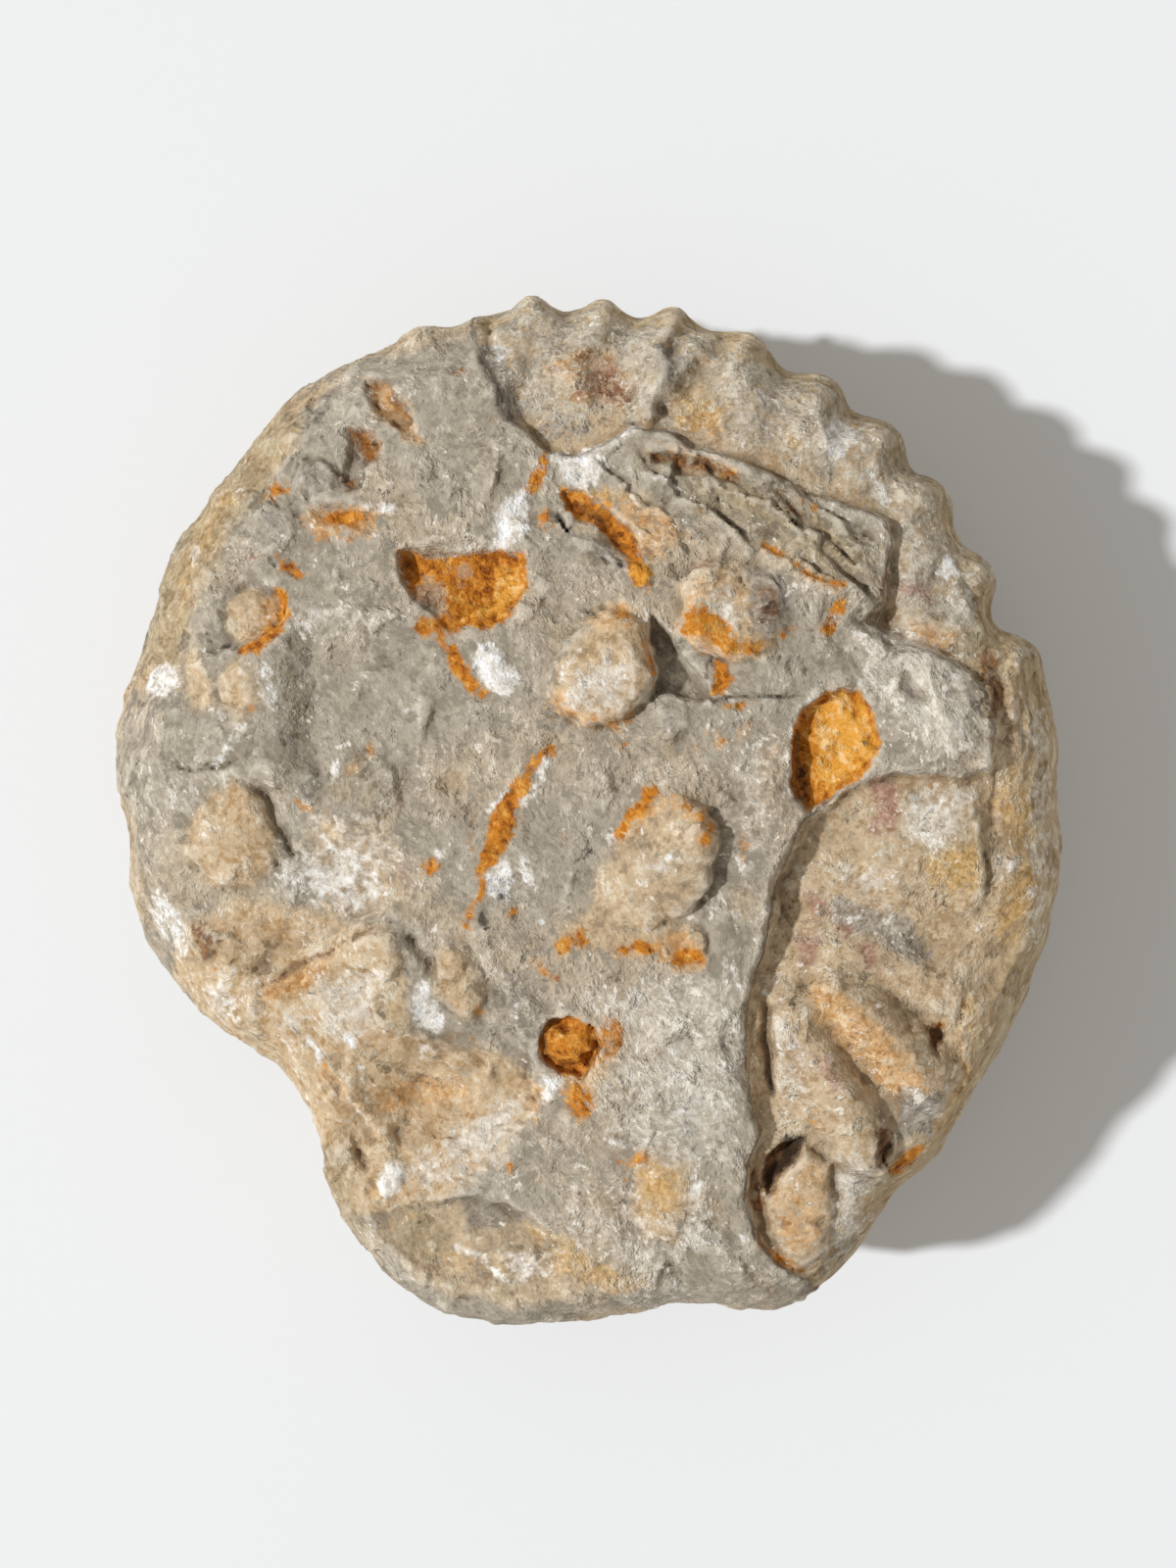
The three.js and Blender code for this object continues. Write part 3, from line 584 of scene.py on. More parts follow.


# ---------------------------------------------------------------- stains, kinds of rock and painted shade

# Areas of each kind: outline and strength. Under strength 0.7 an area is mottled.
AREAS = {
    "ash": [
        ([(-13, 62), (-8, 44), (4, 44), (21, 40), (34, 34), (33.6, 22), (44, 17), (47, 18), (45, 30),
          (38, 42), (26, 52), (10, 58)], 0.62),
        ([(28, -39), (31, -37.4), (34.6, -41), (31, -52), (27, -55), (28.6, -46)], 0.8),
        ([(35, -31), (41, -32), (41, -38), (35, -38)], 0.8),
    ],
    "peach": [
        ([(25, -19.4), (28.6, -19.8), (32.6, -23.4), (36.6, -28), (39, -32), (36, -33.6), (33, -31),
          (29.6, -27), (26, -24)], 0.95),
        ([(9.2, -13), (12, -12.6), (14.4, -15), (13.4, -18), (9.4, -18.4), (6, -16.4), (2, -16.4),
          (2, -14.6), (7, -14)], 0.72),
        ([(20.8, -39.6), (24.4, -37.8), (28, -40), (28, -46), (27.4, -51), (24, -52), (21, -49),
          (20.2, -44)], 0.5),
        ([(-38.6, -20.2), (-34, -17.4), (-29.6, -16), (-29.6, -18.6), (-33, -20.6),
          (-37.4, -22.6)], 0.78),
        ([(-25.6, -32.6), (-22, -30.4), (-15, -30.6), (-14, -33), (-19, -34.6), (-24.6, -35)], 0.7),
        ([(-26, -45.4), (-23, -45), (-21, -41), (-24.8, -41)], 0.6),
        ([(10, 20.6), (10.6, 26), (13, 29), (15, 26.6), (12.4, 23), (14, 20), (20, 20.6), (21.4, 18.6),
          (16, 17.2), (12, 18.3)], 0.72),
        ([(-5, 13), (-3, 15), (-1, 11.4), (3, 11.4), (6, 12.6), (4.6, 10.4), (0, 9.6),
          (-3.6, 10.6)], 0.78),
        ([(-1, 21.6), (1.4, 24), (4.6, 24), (6.8, 20.6), (3.4, 20.4)], 0.75),
        ([(-26.4, 50.6), (-23.4, 50.6), (-20.6, 47.2), (-19.2, 42.6), (-21.6, 43), (-25, 46.4)], 0.85),
        ([(3, -2), (5.6, 1.6), (9.6, 2.8), (13.6, 0.6), (14.6, -3), (12, -1.6), (9, 0.4), (6, -1),
          (4, -5)], 0.72),
        ([(-41.4, 19.6), (-37.6, 19.2), (-34.8, 22.4), (-35.8, 26), (-38, 25), (-37.6, 21.6)], 0.72),
        ([(-33.6, 34), (-30.6, 36), (-25.6, 35.6), (-22.4, 34.6), (-25, 32), (-31, 31.4)], 0.82),
        ([(-38.6, 36), (-38, 39), (-35, 38.6), (-34.4, 36)], 0.7),
        ([(1, -24), (5, -23.6), (6, -27), (3, -30), (1, -32.4), (-2.4, -34.6), (-4, -31)], 0.6),
        ([(-6, -37.4), (-3.6, -30.6), (-6.6, -29.6), (-8, -33)], 0.66),
        ([(4.4, 29.4), (8, 28.6), (12, 31), (10, 34.6), (4, 37), (-1, 37.6), (2, 34)], 0.6),
        ([(5, 43.8), (9, 41), (18, 37.8), (18.4, 39.6), (10, 42.6)], 0.72),
        ([(-6, 51.6), (-2, 47), (4, 46), (6, 50), (3, 55), (-3, 53.6)], 0.52),
        ([(9.4, 44.6), (16, 42.4), (16.6, 46), (11.6, 48)], 0.6),
        ([(20, 30.8), (24, 29), (29, 26.4), (28.6, 24.8), (23, 27.6)], 0.78),
        ([(37, 18.4), (42, 17), (44, 21), (39.6, 23.6), (35.6, 22)], 0.52),
        ([(22.4, 9), (21.6, 4), (18.4, 5.4), (19.4, 10.6), (12, 9), (14.4, 6.6)], 0.5),
        ([(-30.4, -3.4), (-31.4, 1), (-28, 0), (-26.4, -3.6)], 0.5),
        ([(0, 47.6), (3.4, 46.6), (2, 43.6), (-1, 44.6)], 0.5),
    ],
    "rust": [
        ([(-21.9, 30.4), (-19.4, 30.2), (-16.4, 29.4), (-14, 29.6), (-10.6, 30.6), (-7.4, 29.8),
          (-6.9, 26), (-8.5, 22.8), (-11.4, 21.2), (-17, 21.2), (-17.6, 23), (-20.4, 25.4)], 0.9),
        ([(24, 12), (27, 13.9), (30.5, 13.7), (32.6, 11), (33.4, 8), (31, 4.4), (27.5, 1.4), (25, 0.7),
          (23, 3.5), (22.8, 8.5)], 1),
        ([(-31.6, 34.6), (-29.6, 35.2), (-26.5, 34.8), (-24.6, 33.6), (-27, 33), (-30.5, 33.2)], 0.8),
        (RUSTY_GASH, 0.9),
        ([(-24, 50), (-23.2, 49.8), (-21, 46.6), (-20.6, 44.6), (-22.4, 46.6)], 0.6),
        ([(-28, 44.4), (-25.6, 44.4), (-23.6, 42.8), (-24, 40.8), (-25.8, 40), (-27, 41.6)], 0.55),
        ([(-38.4, 38), (-37, 38.8), (-35.4, 38), (-35.2, 36.4), (-37, 35.8)], 0.75),
        ([(-3.4, 37.2), (-0.8, 37), (2.2, 34.8), (5, 31.6), (6.2, 29), (7.6, 27.6), (7.2, 25.6),
          (5.4, 26), (4.4, 29), (1.6, 31.6), (-1.4, 34)], 1),
        (RUSTY_NICK, 1),
        ([(14.2, 12.8), (16, 12.6), (18.3, 12.4), (17.4, 11.2), (15, 11.8)], 0.72),
        ([(1.3, 22.4), (3.4, 23.8), (5, 23), (4.4, 22), (3, 22)], 0.62),
        ([(10.4, 23.4), (13, 23.6), (15.6, 21.4), (17.4, 19.6), (20, 20), (19.6, 18.2), (15.6, 17.6),
          (13, 20.2), (10.4, 20.8)], 0.74),
        ([(21.6, 19.8), (22.8, 21.7), (23.8, 21.4), (22.8, 19.4)], 0.85),
        ([(-2.5, 7.6), (-4.6, 7.8), (-6.8, 6), (-7.8, 4.4), (-8.8, 2.4), (-10.4, 0.7), (-11.4, -0.5),
          (-11.5, -3), (-12.4, -6.6), (-12.2, -7.8), (-13.2, -10), (-14.8, -13.8), (-13.4, -12.4),
          (-12, -9), (-10.9, -6.6), (-9.3, -4.4), (-8.3, -1), (-7.4, 1.5), (-6.3, 3.8), (-5.9, 5.5),
          (-4.4, 6.8)], 1),
        ([(-5.3, -26.4), (-4.4, -23.8), (-2, -22.9), (0.6, -24), (1.2, -26.5), (0.6, -29.2),
          (-1, -30.5), (-3.2, -30), (-4.8, -28.2)], 1),
        ([(1, -23.4), (3.4, -22.4), (4.6, -24.6), (3.6, -27.4), (1.2, -28.8)], 0.6),
        ([(-4.2, -15), (-3, -13.4), (-0.4, -12.8), (0, -15), (-2.4, -17), (-3.6, -16.4)], 0.72),
        ([(2.2, -14.6), (5, -13.8), (8.4, -14.2), (8.2, -15.8), (4, -15.9)], 0.7),
        ([(9.2, -16), (11, -14.4), (13.9, -15), (13.5, -17), (10, -18.2)], 0.62),
        ([(34.6, -41.5), (36.2, -39.4), (39, -38), (40, -39.4), (36.6, -43)], 0.72),
        ([(-3.6, -31.6), (-0.6, -31), (1.2, -33), (0, -35.6), (-2.8, -34.4)], 0.58),
        ([(24.6, -34.6), (26, -34), (27.6, -36.4), (26, -37.6)], 0.5),
        ([(12.4, -1.4), (14, -0.4), (14.4, -3.4), (13, -4.6), (12, -3)], 0.62),
    ],
    "amber": [
        ([(25, 12.4), (28.6, 13.8), (31.6, 12), (33.2, 8), (30, 4.2), (27.4, 2.6), (26, 5),
          (26.4, 8)], 0.8),
        ([(-11.4, 29.4), (-8.2, 28.8), (-7.2, 26), (-9, 22.8), (-14, 21.4), (-15.4, 22.8),
          (-11, 24.4)], 0.66),
        ([(5, 28.4), (6.2, 29), (7.8, 27.4), (7.2, 25.5), (5.4, 26)], 0.9),
        ([(-4.2, -24.4), (-1.4, -23.8), (-1, -25.4), (-4, -26)], 0.6),
    ],
    # Brown patches: some are brown stains; others are painted shade: on the crushed shell's right slope,
    # under the overhung edge of the rusty scoop, on the left wall of the socket by the ledge, in the
    # cavity and the pit on the lower right, and on the step at the lobe's end.
    "brown": [
        ([(18.4, 26.6), (21.4, 25.4), (22, 22), (19.6, 21), (18.6, 23.6)], 0.56),
        ([(-21.7, 29.6), (-20.4, 30.2), (-19.8, 27.8), (-20.4, 25.4), (-21.4, 26.4)], 0.62),
        ([(-2.2, 36.4), (0.2, 35.6), (2.4, 33.4), (4.6, 30.4), (3.2, 30.4), (0.2, 33)], 0.72),
        ([(6.8, 41.3), (11, 41.3), (17.2, 39), (12, 38.8), (7.8, 40)], 0.72),
        ([(-28.6, 44.8), (-25.4, 44.8), (-23.4, 42.6), (-24, 40.4), (-26, 39.4), (-27.6, 41)], 0.6),
        ([(-26, 50.6), (-24.6, 50.6), (-22.6, 46.6), (-23.8, 46), (-26, 48.4)], 0.62),
        ([(-30, 40.2), (-27, 38.6), (-27.4, 36.6), (-28.6, 38)], 0.8),
        ([(22.9, 8.8), (24, 10), (24.7, 5), (25, 1), (23.6, 1.4), (22.9, 4)], 0.85),
        ([(18.2, -40.4), (20.4, -40.4), (20.6, -45), (20, -47.6), (18, -45)], 0.6),
        ([(20.2, -42.6), (20.8, -40), (22.2, -37.6), (24.4, -37.2), (24.4, -39), (22.8, -41.4),
          (21, -43.6)], 0.9),
        ([(-46.4, -12.6), (-42.6, -14), (-42, -16.4), (-44.6, -17.4)], 0.6),
        ([(44.6, 20), (48, 18.6), (48.8, 12), (46.4, 10.6), (44.8, 14.6)], 0.64),
        ([(-2.4, 53.4), (1, 54.2), (4.6, 52), (5.2, 47.6), (2, 46.4), (-1.6, 49)], 0.4),
        ([(39, -23.6), (41, -24), (41.6, -26.6), (40, -28.4), (38.6, -26.8)], 0.75),
        ([(33, -35.6), (34.8, -36.6), (35.2, -39.4), (34, -40.6), (32.6, -38.6)], 0.75),
    ],
    "chalk": [
        ([(-13.1, 18.4), (-12, 19.4), (-10.3, 19.1), (-9.4, 17.2), (-7.6, 16), (-7.9, 14.8), (-9.4, 13),
          (-11.1, 14), (-12.5, 16)], 1),
        ([(-6.2, 38.2), (-7.2, 35.4), (-6.8, 33), (-8.6, 30.6), (-12.2, 29.7), (-10.8, 32),
          (-10.2, 34.6), (-8.4, 37)], 0.95),
        ([(-4.2, 41), (-1, 41.2), (1.6, 42.2), (2.6, 40), (1, 37.5), (-2.6, 37.7)], 0.85),
        ([(-51.4, 16.4), (-49.6, 17.8), (-47.8, 16.8), (-47.4, 14.6), (-49.4, 13.4), (-51.6, 14.2)], 1),
        ([(-36, -5), (-31, -3.4), (-25, -4), (-22, -9), (-27, -12), (-34.6, -10.4)], 0.47),
        ([(-33.4, -6.6), (-30, -5.8), (-27.4, -7), (-28.6, -9.6), (-32.4, -9)], 0.66),
        ([(-52, -9), (-49.4, -8.6), (-46.6, -11), (-45.4, -15), (-47.6, -17.6), (-50.4, -14.4)], 0.52),
        ([(-45, -20), (-41.4, -21), (-39.8, -24.6), (-42.6, -24.4)], 0.5),
        ([(-20.2, -19), (-18.6, -19.4), (-16.6, -23), (-17, -25.2), (-19.6, -24.8), (-20.4, -22)], 0.8),
        ([(-10.1, -4.6), (-8.8, -5.5), (-8.3, -7.5), (-9.4, -9.7), (-10.6, -10), (-11.8, -8.6),
          (-11.2, -6.4)], 0.85),
        ([(-8.1, -4.6), (-6.6, -5), (-6, -7), (-6.7, -8.2), (-7.7, -6.5)], 0.85),
        ([(-24.6, -42), (-23, -40.2), (-21, -40.8), (-21.2, -43), (-23.4, -44.6)], 0.78),
        ([(-11, -50.2), (-7, -50.4), (-4, -52.8), (-7, -54), (-9.4, -52.4)], 0.56),
        ([(26.4, 42), (28, 45.6), (30.6, 46), (32.2, 43.4), (30.4, 40.6), (27.6, 40.4)], 0.72),
        ([(40.2, 27.8), (41, 30.4), (42.6, 30), (43, 27.6), (41.4, 27)], 0.85),
        ([(-5.6, -29.8), (-3.2, -30.2), (-3, -32.6), (-5, -33.4)], 0.7),
        ([(-28.4, -25.2), (-26.4, -24.8), (-25.8, -26.8), (-27.4, -27.4)], 0.7),
        ([(-20, -26.2), (-18, -26.6), (-18.2, -28.4), (-19.6, -28)], 0.75),
    ],
    "pale": [
        ([(40.6, 28), (45.4, 28), (46.6, 22.4), (41, 22)], 0.56),
        ([(49.4, 14), (54, 13), (56, -4), (54, -16), (49.6, -14), (50.4, 0)], 0.5),
        ([(8.6, 52.4), (11.8, 52), (11.6, 47.6), (8.8, 47.6)], 0.46),
        ([(3, -53), (12, -53), (13, -57.4), (3, -57.8)], 0.55),
        ([(27, -43), (31, -43.6), (33.4, -46.4), (31, -50), (27.4, -48)], 0.62),
        ([(26, 46), (30.6, 45.6), (31, 42), (27, 41.6)], 0.62),
        ([(-3, 11.4), (-3.4, 14), (-1, 16), (2, 18.6), (5, 17), (5.4, 12.6), (2, 10.8)], 0.68),
        ([(12.6, 21), (13, 25.6), (16, 26.4), (18.6, 24), (17.6, 20.6), (14.6, 20.6)], 0.66),
        ([(-35.6, 24), (-32, 25.4), (-24, 25), (-21.6, 22), (-26, 19.6), (-34, 20)], 0.52),
        ([(-20.4, -38), (-14, -36.6), (-8, -33), (-6, -36), (-10, -42), (-16, -44), (-21, -42.6)], 0.6),
        ([(-45, -22), (-40, -18), (-40.6, -24), (-42.8, -25)], 0.62),
        ([(-32, -18.6), (-24, -17), (-23, -25), (-30, -26)], 0.64),
        ([(-39, -23), (-34.6, -27.4), (-31, -25), (-34, -21)], 0.5),
        ([(-18, -38), (-11, -33), (-7, -31), (-7.6, -36), (-11, -40), (-17, -41)], 0.78),
        ([(-9, -50), (-3, -48.6), (-2, -51), (-8, -53)], 0.66),
        ([(28.6, -41), (31.6, -40), (33, -44), (29.6, -51), (27.6, -50)], 0.62),
        ([(26, 46.6), (31, 47), (33, 43), (29, 40), (25, 41)], 0.75),
        ([(20, 50), (24, 47), (23, 42), (19, 43)], 0.5),
        ([(38, 34), (43, 29), (42, 25), (36, 27), (35.6, 31)], 0.5),
        ([(1, -20), (15, -18), (18.4, -28), (17, -40), (8, -41), (1, -36), (2, -29)], 0.64),
        ([(-2, -40), (4, -44), (14, -42), (17, -50), (6, -55), (-4, -48)], 0.5),
        ([(-30, 1), (-22, 0), (-20, -8), (-24, -12), (-30, -10)], 0.52),
        ([(15, 9), (22.6, 10), (21.6, 0), (19.6, -9), (17, -16), (13.6, -11), (16, -4)], 0.46),
        ([(28, 22.6), (37, 22), (43, 16), (44, 7), (38, 6), (34, 12), (29.6, 15)], 0.72),
        ([(34.6, 4), (38, 4.6), (45.6, 3.4), (44, -1.6), (40, -5), (35.6, -3.6)], 0.68),
        ([(28.6, -5.6), (35, -6.4), (33.6, -10.2), (27.6, -8.6)], 0.66),
        ([(33, -10.6), (35.6, -11.8), (35, -14.4), (32.4, -13.4)], 0.7),
        ([(20.8, -21), (23, -22.6), (26, -28), (25, -35), (21, -31)], 0.56),
        ([(6, -5), (9, -2.4), (11.6, -4), (10, -8), (6.6, -8.4)], 0.56),
        ([(5, 7.4), (10, 6.6), (9.6, 3.6), (4.6, 2.4)], 0.56),
        ([(45.6, -3.6), (50, -4.4), (50, -9), (46, -8.6)], 0.56),
        ([(-51, 3), (-45, 3), (-42, 6), (-38, 4), (-46, -1), (-51, -1)], 0.46),
        ([(-26, -50), (-22, -51.4), (-17, -55.6), (-12, -57), (-21, -55)], 0.56),
        ([(21, -52), (26, -50), (31, -45), (33, -48), (28, -54)], 0.5),
    ],
    "tan": [
        ([(-47.6, -14), (-41, -9.4), (-35, -10.6), (-30, -11.4), (-27, -12.6), (-22, -13.4), (-21, -19),
          (-20.4, -25), (-17, -26.2), (-12, -26.6), (-8, -28.6), (-5.8, -31), (-7.4, -36), (-10, -40),
          (-18, -45.4), (-24, -46.4), (-29, -48), (-36, -36), (-42, -27), (-50, -20)], 0.95),
        ([(-24.4, -46), (-20, -45.1), (-16, -44), (-12.5, -43.8), (-8.5, -45), (-5, -47.4), (-2.6, -50),
          (0, -56), (-9.5, -58), (-17, -56), (-21.5, -53.5), (-25, -49)], 0.6),
        ([(-46.5, -1), (-44.5, 2.2), (-40.5, 4), (-37.6, 2), (-36, -1), (-36, -6), (-38.5, -8.6),
          (-43, -8.6), (-46.6, -5)], 1),
        ([(-47.6, 18.6), (-45, 19.8), (-43.4, 16), (-42.4, 12.4), (-45, 11.4), (-46.8, 14)], 0.8),
        ([(-42.4, 15.6), (-40.6, 18.2), (-38, 17), (-37.2, 13), (-39.4, 10.4), (-41.8, 12)], 0.85),
        ([(-41.8, 24.8), (-39, 26.6), (-36.2, 25), (-35.6, 22.4), (-37.2, 20), (-40.4, 19.4),
          (-42.2, 21.6)], 0.95),
        ([(-4.9, 14), (-3.7, 17.8), (-0.8, 20.4), (1, 23.3), (3.4, 24.8), (5.8, 23), (7, 19.4),
          (7.5, 15.6), (6.6, 12.2), (3.4, 9.8), (-0.5, 9.6), (-3.4, 11)], 0.75),
        ([(3, -1), (6, 1.6), (10, 2.6), (14, 0.6), (15.2, -4), (13.6, -9), (11.4, -12), (14.2, -14.4),
          (13.8, -17.4), (9.6, -18), (6, -16), (0, -16.4), (-4.2, -16.8), (-4, -12.4), (-0.6, -10),
          (0.2, -6.4), (2, -4)], 0.66),
        ([(9.8, 20.6), (10.4, 26), (13, 29.2), (17, 29), (21, 26.6), (23.6, 22), (21.5, 18.4),
          (16, 17)], 0.8),
        ([(4.7, -40.4), (7.5, -38), (10.5, -38.8), (12, -42), (11.6, -46), (9.6, -49.6), (6.4, -49.2),
          (4.7, -45.5)], 0.95),
        ([(20.6, -39.4), (24, -37.8), (28.4, -40.2), (28.2, -46), (27.6, -51), (24, -52.4), (20.8, -49),
          (19.8, -44)], 0.95),
        ([(-18.4, -18), (-17.4, -15), (-14.2, -14.6), (-12, -17.5), (-11.4, -21), (-12.4, -24.2),
          (-15.5, -23.2), (-17.8, -21)], 0.8),
        ([(15.4, -8), (18.6, -7.4), (19.4, -10.4), (17.6, -12.8), (15.6, -11.4)], 0.72),
        ([(-17.5, 2.4), (-16.8, 5.2), (-13.8, 5), (-13.4, 2.4)], 0.8),
        ([(-33, 0), (-22, 0), (-20, -9), (-24, -13), (-32, -12)], 0.55),
        ([(-3, 31.6), (0.6, 31), (4, 28.6), (10, 34), (8, 37.4), (1, 38)], 0.55),
        ([(-54, 14), (-47, 14), (-47.6, 20), (-44, 27), (-40, 36), (-34, 42), (-30, 52),
          (-46, 46)], 0.82),
        ([(18, 8), (22, 9), (21, -6), (18, -4)], 0.42),
        ([(3, 41.6), (6, 43.4), (16, 39.8), (24, 35), (30, 28), (24, 30), (14, 36)], 0.5),
    ],
    "ochre": [
        ([(-25, -47.6), (-21, -45.4), (-19.6, -47), (-23.6, -50)], 0.6),
        ([(-20, -49.4), (-14, -48.6), (-8, -51.4), (-10, -54), (-17, -53)], 0.5),
        ([(-7, -47.6), (-3.4, -48.4), (0, -50.4), (5, -53), (9, -54.6), (4, -55.4), (-2, -53.6),
          (-5, -51)], 0.9),
        ([(-28.9, -30.6), (-27.4, -31.4), (-25.4, -34), (-25.5, -35.4), (-27.2, -34.6),
          (-29, -32)], 0.85),
        ([(4.8, -40.6), (8, -38.6), (11, -40.6), (11.6, -45), (9, -49.4), (5.4, -47.6)], 0.7),
        ([(37, -5), (41, -3), (46, -2.4), (47, -8), (42.6, -10.4), (38.6, -8.4)], 0.62),
        ([(47, -5), (54, -4), (53, -14), (47, -13.6)], 0.75),
        ([(45.6, 4), (50, 6), (50, -3), (46, -4)], 0.62),
        ([(7, 49), (11, 52), (15, 48), (17, 42), (11, 43)], 0.46),
        ([(-48, 18), (-44, 30), (-40, 38), (-44, 40), (-49.6, 28)], 0.52),
        ([(8, 50), (13, 51), (17, 47), (16, 42), (10, 44)], 0.6),
        ([(20, 47), (25, 44), (26, 40), (20, 42)], 0.5),
    ],
    "olive": [
        ([(-24.4, -46.6), (-20, -45.2), (-15.4, -46), (-14.6, -49.4), (-17, -53), (-21.6, -51.4)], 0.66),
        ([(-14.8, -50.6), (-12.6, -50.6), (-9, -54.4), (-10.6, -55.6), (-13.4, -53)], 0.85),
        ([(29, 30.4), (30.6, 31.5), (32.3, 30), (30.8, 28.5)], 0.8),
        ([(-53.4, 7), (-52, 13), (-50.6, 13.4), (-51.6, 7)], 0.8),
        ([(-36, 18.6), (-32.6, 18.6), (-31.4, 10), (-31.2, 4), (-34, 4.6), (-36, 11)], 0.5),
        ([(34, 25.6), (39, 25.4), (40.6, 21.6), (36, 20.6)], 0.5),
        ([(18, 53.6), (28, 47.6), (36, 40), (43.6, 32.6), (48.4, 24), (51, 15), (58, 18), (50, 38),
          (38, 52), (20, 60)], 0.74),
        # painted shade of a knob on the upper flank
        ([(36, 37.6), (39, 38), (40.4, 34.6), (37.6, 34)], 0.5),
        ([(20.4, 51.8), (23.6, 50.8), (23.4, 48.4), (20.6, 48.8)], 0.5),
        ([(-46, 0), (-44, 2.6), (-40.6, 3.4), (-38, 1), (-37, -5), (-40, -8), (-45, -6)], 0.34),
        ([(-26, -28), (-22, -30), (-23, -36), (-26.4, -34)], 0.42),
        ([(-58, 15), (-56, 27), (-51, 37), (-43, 46), (-35, 52), (-32, 46), (-37, 38.6), (-42.6, 30),
          (-44.6, 24), (-46, 17)], 0.72),
        ([(37, -4), (46, -2), (47, -9), (40, -9.6)], 0.8),
        ([(34, 33), (39.6, 33), (41, 27), (35.4, 26.6)], 0.42),
        ([(11, 33), (18.6, 30.6), (21, 27), (14, 27.4)], 0.5),
        ([(3, 41.6), (8, 42.4), (18, 39), (28, 35), (33.6, 32), (33, 26), (27, 26), (20, 30.6),
          (12, 34)], 0.68),
        (ROUND_FLAKE, 0.6),
        ([(-34, -40), (-29, -37), (-27.6, -43), (-25.4, -47), (-27, -54), (-34, -48)], 0.8),
        ([(43.6, 21), (48, 20), (48.2, 11), (44.6, 10)], 0.9),
    ],
    "pink": [
        ([(31.4, 4.4), (35.2, 4.6), (36.2, 1), (34.6, -2.6), (32.6, -2), (33, 1)], 0.9),
        ([(24.2, -8.8), (26.8, -8.6), (28, -11.6), (25.4, -12.6)], 0.85),
        ([(23.4, -14), (26.4, -13.4), (26.6, -17), (24, -17.6)], 0.85),
        ([(31.4, -14.6), (34, -15), (33.8, -18.6), (31.4, -17.8)], 0.75),
        ([(25, -26), (28, -27.4), (30, -31), (28.4, -33), (25.6, -29.4)], 0.6),
        ([(-27, -5.4), (-25, -6), (-24.4, -9), (-26.6, -8.6)], 0.5),
        ([(22, -25), (24.6, -25), (25.4, -29), (23, -29)], 0.5),
        ([(-23, -4.6), (-20.8, -5.2), (-20, -8.6), (-21.6, -9), (-22.8, -6)], 0.66),
        ([(35.4, 27), (39.8, 26.6), (39.8, 25), (36, 25.2)], 0.75),
        ([(-39.7, 30.5), (-37.4, 30.4), (-37.4, 29), (-39.4, 29.2)], 0.75),
        ([(10, 27), (12, 30), (15, 29.4), (13, 27)], 0.5),
        ([(-15.8, 27.4), (-14.4, 28.8), (-12.8, 27.8), (-14, 26)], 0.75),
        ([(-2.6, 49), (0.6, 53.6), (4.4, 52), (5.6, 47.4), (1, 46.4)], 0.52),
        ([(27.6, -11.4), (30.8, -12.6), (30, -14.6), (27.6, -13.4)], 0.55),
        ([(18, -33), (20, -34), (20, -38), (18, -37)], 0.4),
    ],
    # Grey patches: mostly grey stains; some are painted shade: the grey lower left of the socket under
    # the slab, the slab's broken wall at the top left, and the crushed shell's right slope.
    "slate": [
        ([(-20.8, 25), (-18.8, 27.6), (-16.2, 26.6), (-15.6, 23), (-18.6, 22)], 0.9),
        ([(-15.6, 27.6), (-14, 28.8), (-12.8, 27.4), (-14.4, 26)], 0.85),
        ([(-33.6, 2.2), (-32, 5), (-30.4, 4.2), (-30.4, 1.8), (-32.2, 0.4)], 0.8),
        ([(-35, 46), (-33.4, 48), (-30.2, 47), (-31, 45)], 1),
        ([(-6.4, -15.6), (-4.8, -14.8), (-3.4, -15.8), (-5, -16.6)], 0.8),
        ([(-2.2, 32.2), (0.4, 31.6), (3.8, 29), (4, 28), (1, 29.2), (-1.8, 31)], 0.8),
        (ROUND_FLAKE, 0.62),
        ([(-10.4, -18), (-5, -17), (-4.4, -22), (-4.8, -27), (-8, -27), (-10, -22)], 0.56),
        (GREY_CHIP, 0.5),
        ([(-36, 18.6), (-32, 19), (-31.2, 10), (-31, 3), (-34, 4.6), (-36.4, 11)], 0.6),
        ([(-34.2, 38.4), (-33.2, 41.2), (-30.8, 41), (-28.4, 39), (-29.4, 36.8), (-32, 36.2)], 0.8),
        ([(-13.6, 54.6), (-10, 54.6), (-7.4, 48), (-8, 44.6), (-9.6, 45), (-11.4, 49)], 0.95),
        ([(-6, 55.6), (-1, 54.6), (-2, 53), (-6, 53.6)], 0.62),
        ([(8, 54.6), (10, 55.4), (12.4, 51.6), (9.2, 48.4), (7.6, 50)], 0.75),
        ([(3, 55), (5, 54.6), (5.4, 51), (3.4, 51.4)], 0.62),
        ([(-9, 46), (-4, 46.6), (3, 44), (1, 42.4), (-5, 42.4)], 0.56),
        ([(18.6, 50.5), (22, 50), (21.4, 44), (19.4, 43)], 0.6),
        ([(26.8, -8.6), (32, -10.4), (37, -12.6), (40, -16.4), (37.6, -17.6), (33, -14.6),
          (27.4, -12.4)], 0.85),
        ([(35.4, -31.4), (40.4, -32.6), (40, -37.6), (35.6, -37.4)], 0.9),
        ([(43.4, 4.6), (45.2, 4.6), (45, 3), (43.4, 3)], 0.8),
        ([(15.6, -49.4), (17, -48.4), (18, -49.6), (16.6, -50.4)], 0.66),
        ([(-40, 31.2), (-38.4, 34.8), (-35, 35.4), (-33.2, 32.8), (-35, 30.2), (-38.4, 29.8)], 0.56),
        ([(-15.4, -44.6), (-10, -44.2), (-7, -46.4), (-10, -48.4), (-14.6, -48.4)], 0.8),
        ([(-14.4, -55.2), (-11.4, -55.2), (-11.2, -56.4), (-14, -56.6)], 0.75),
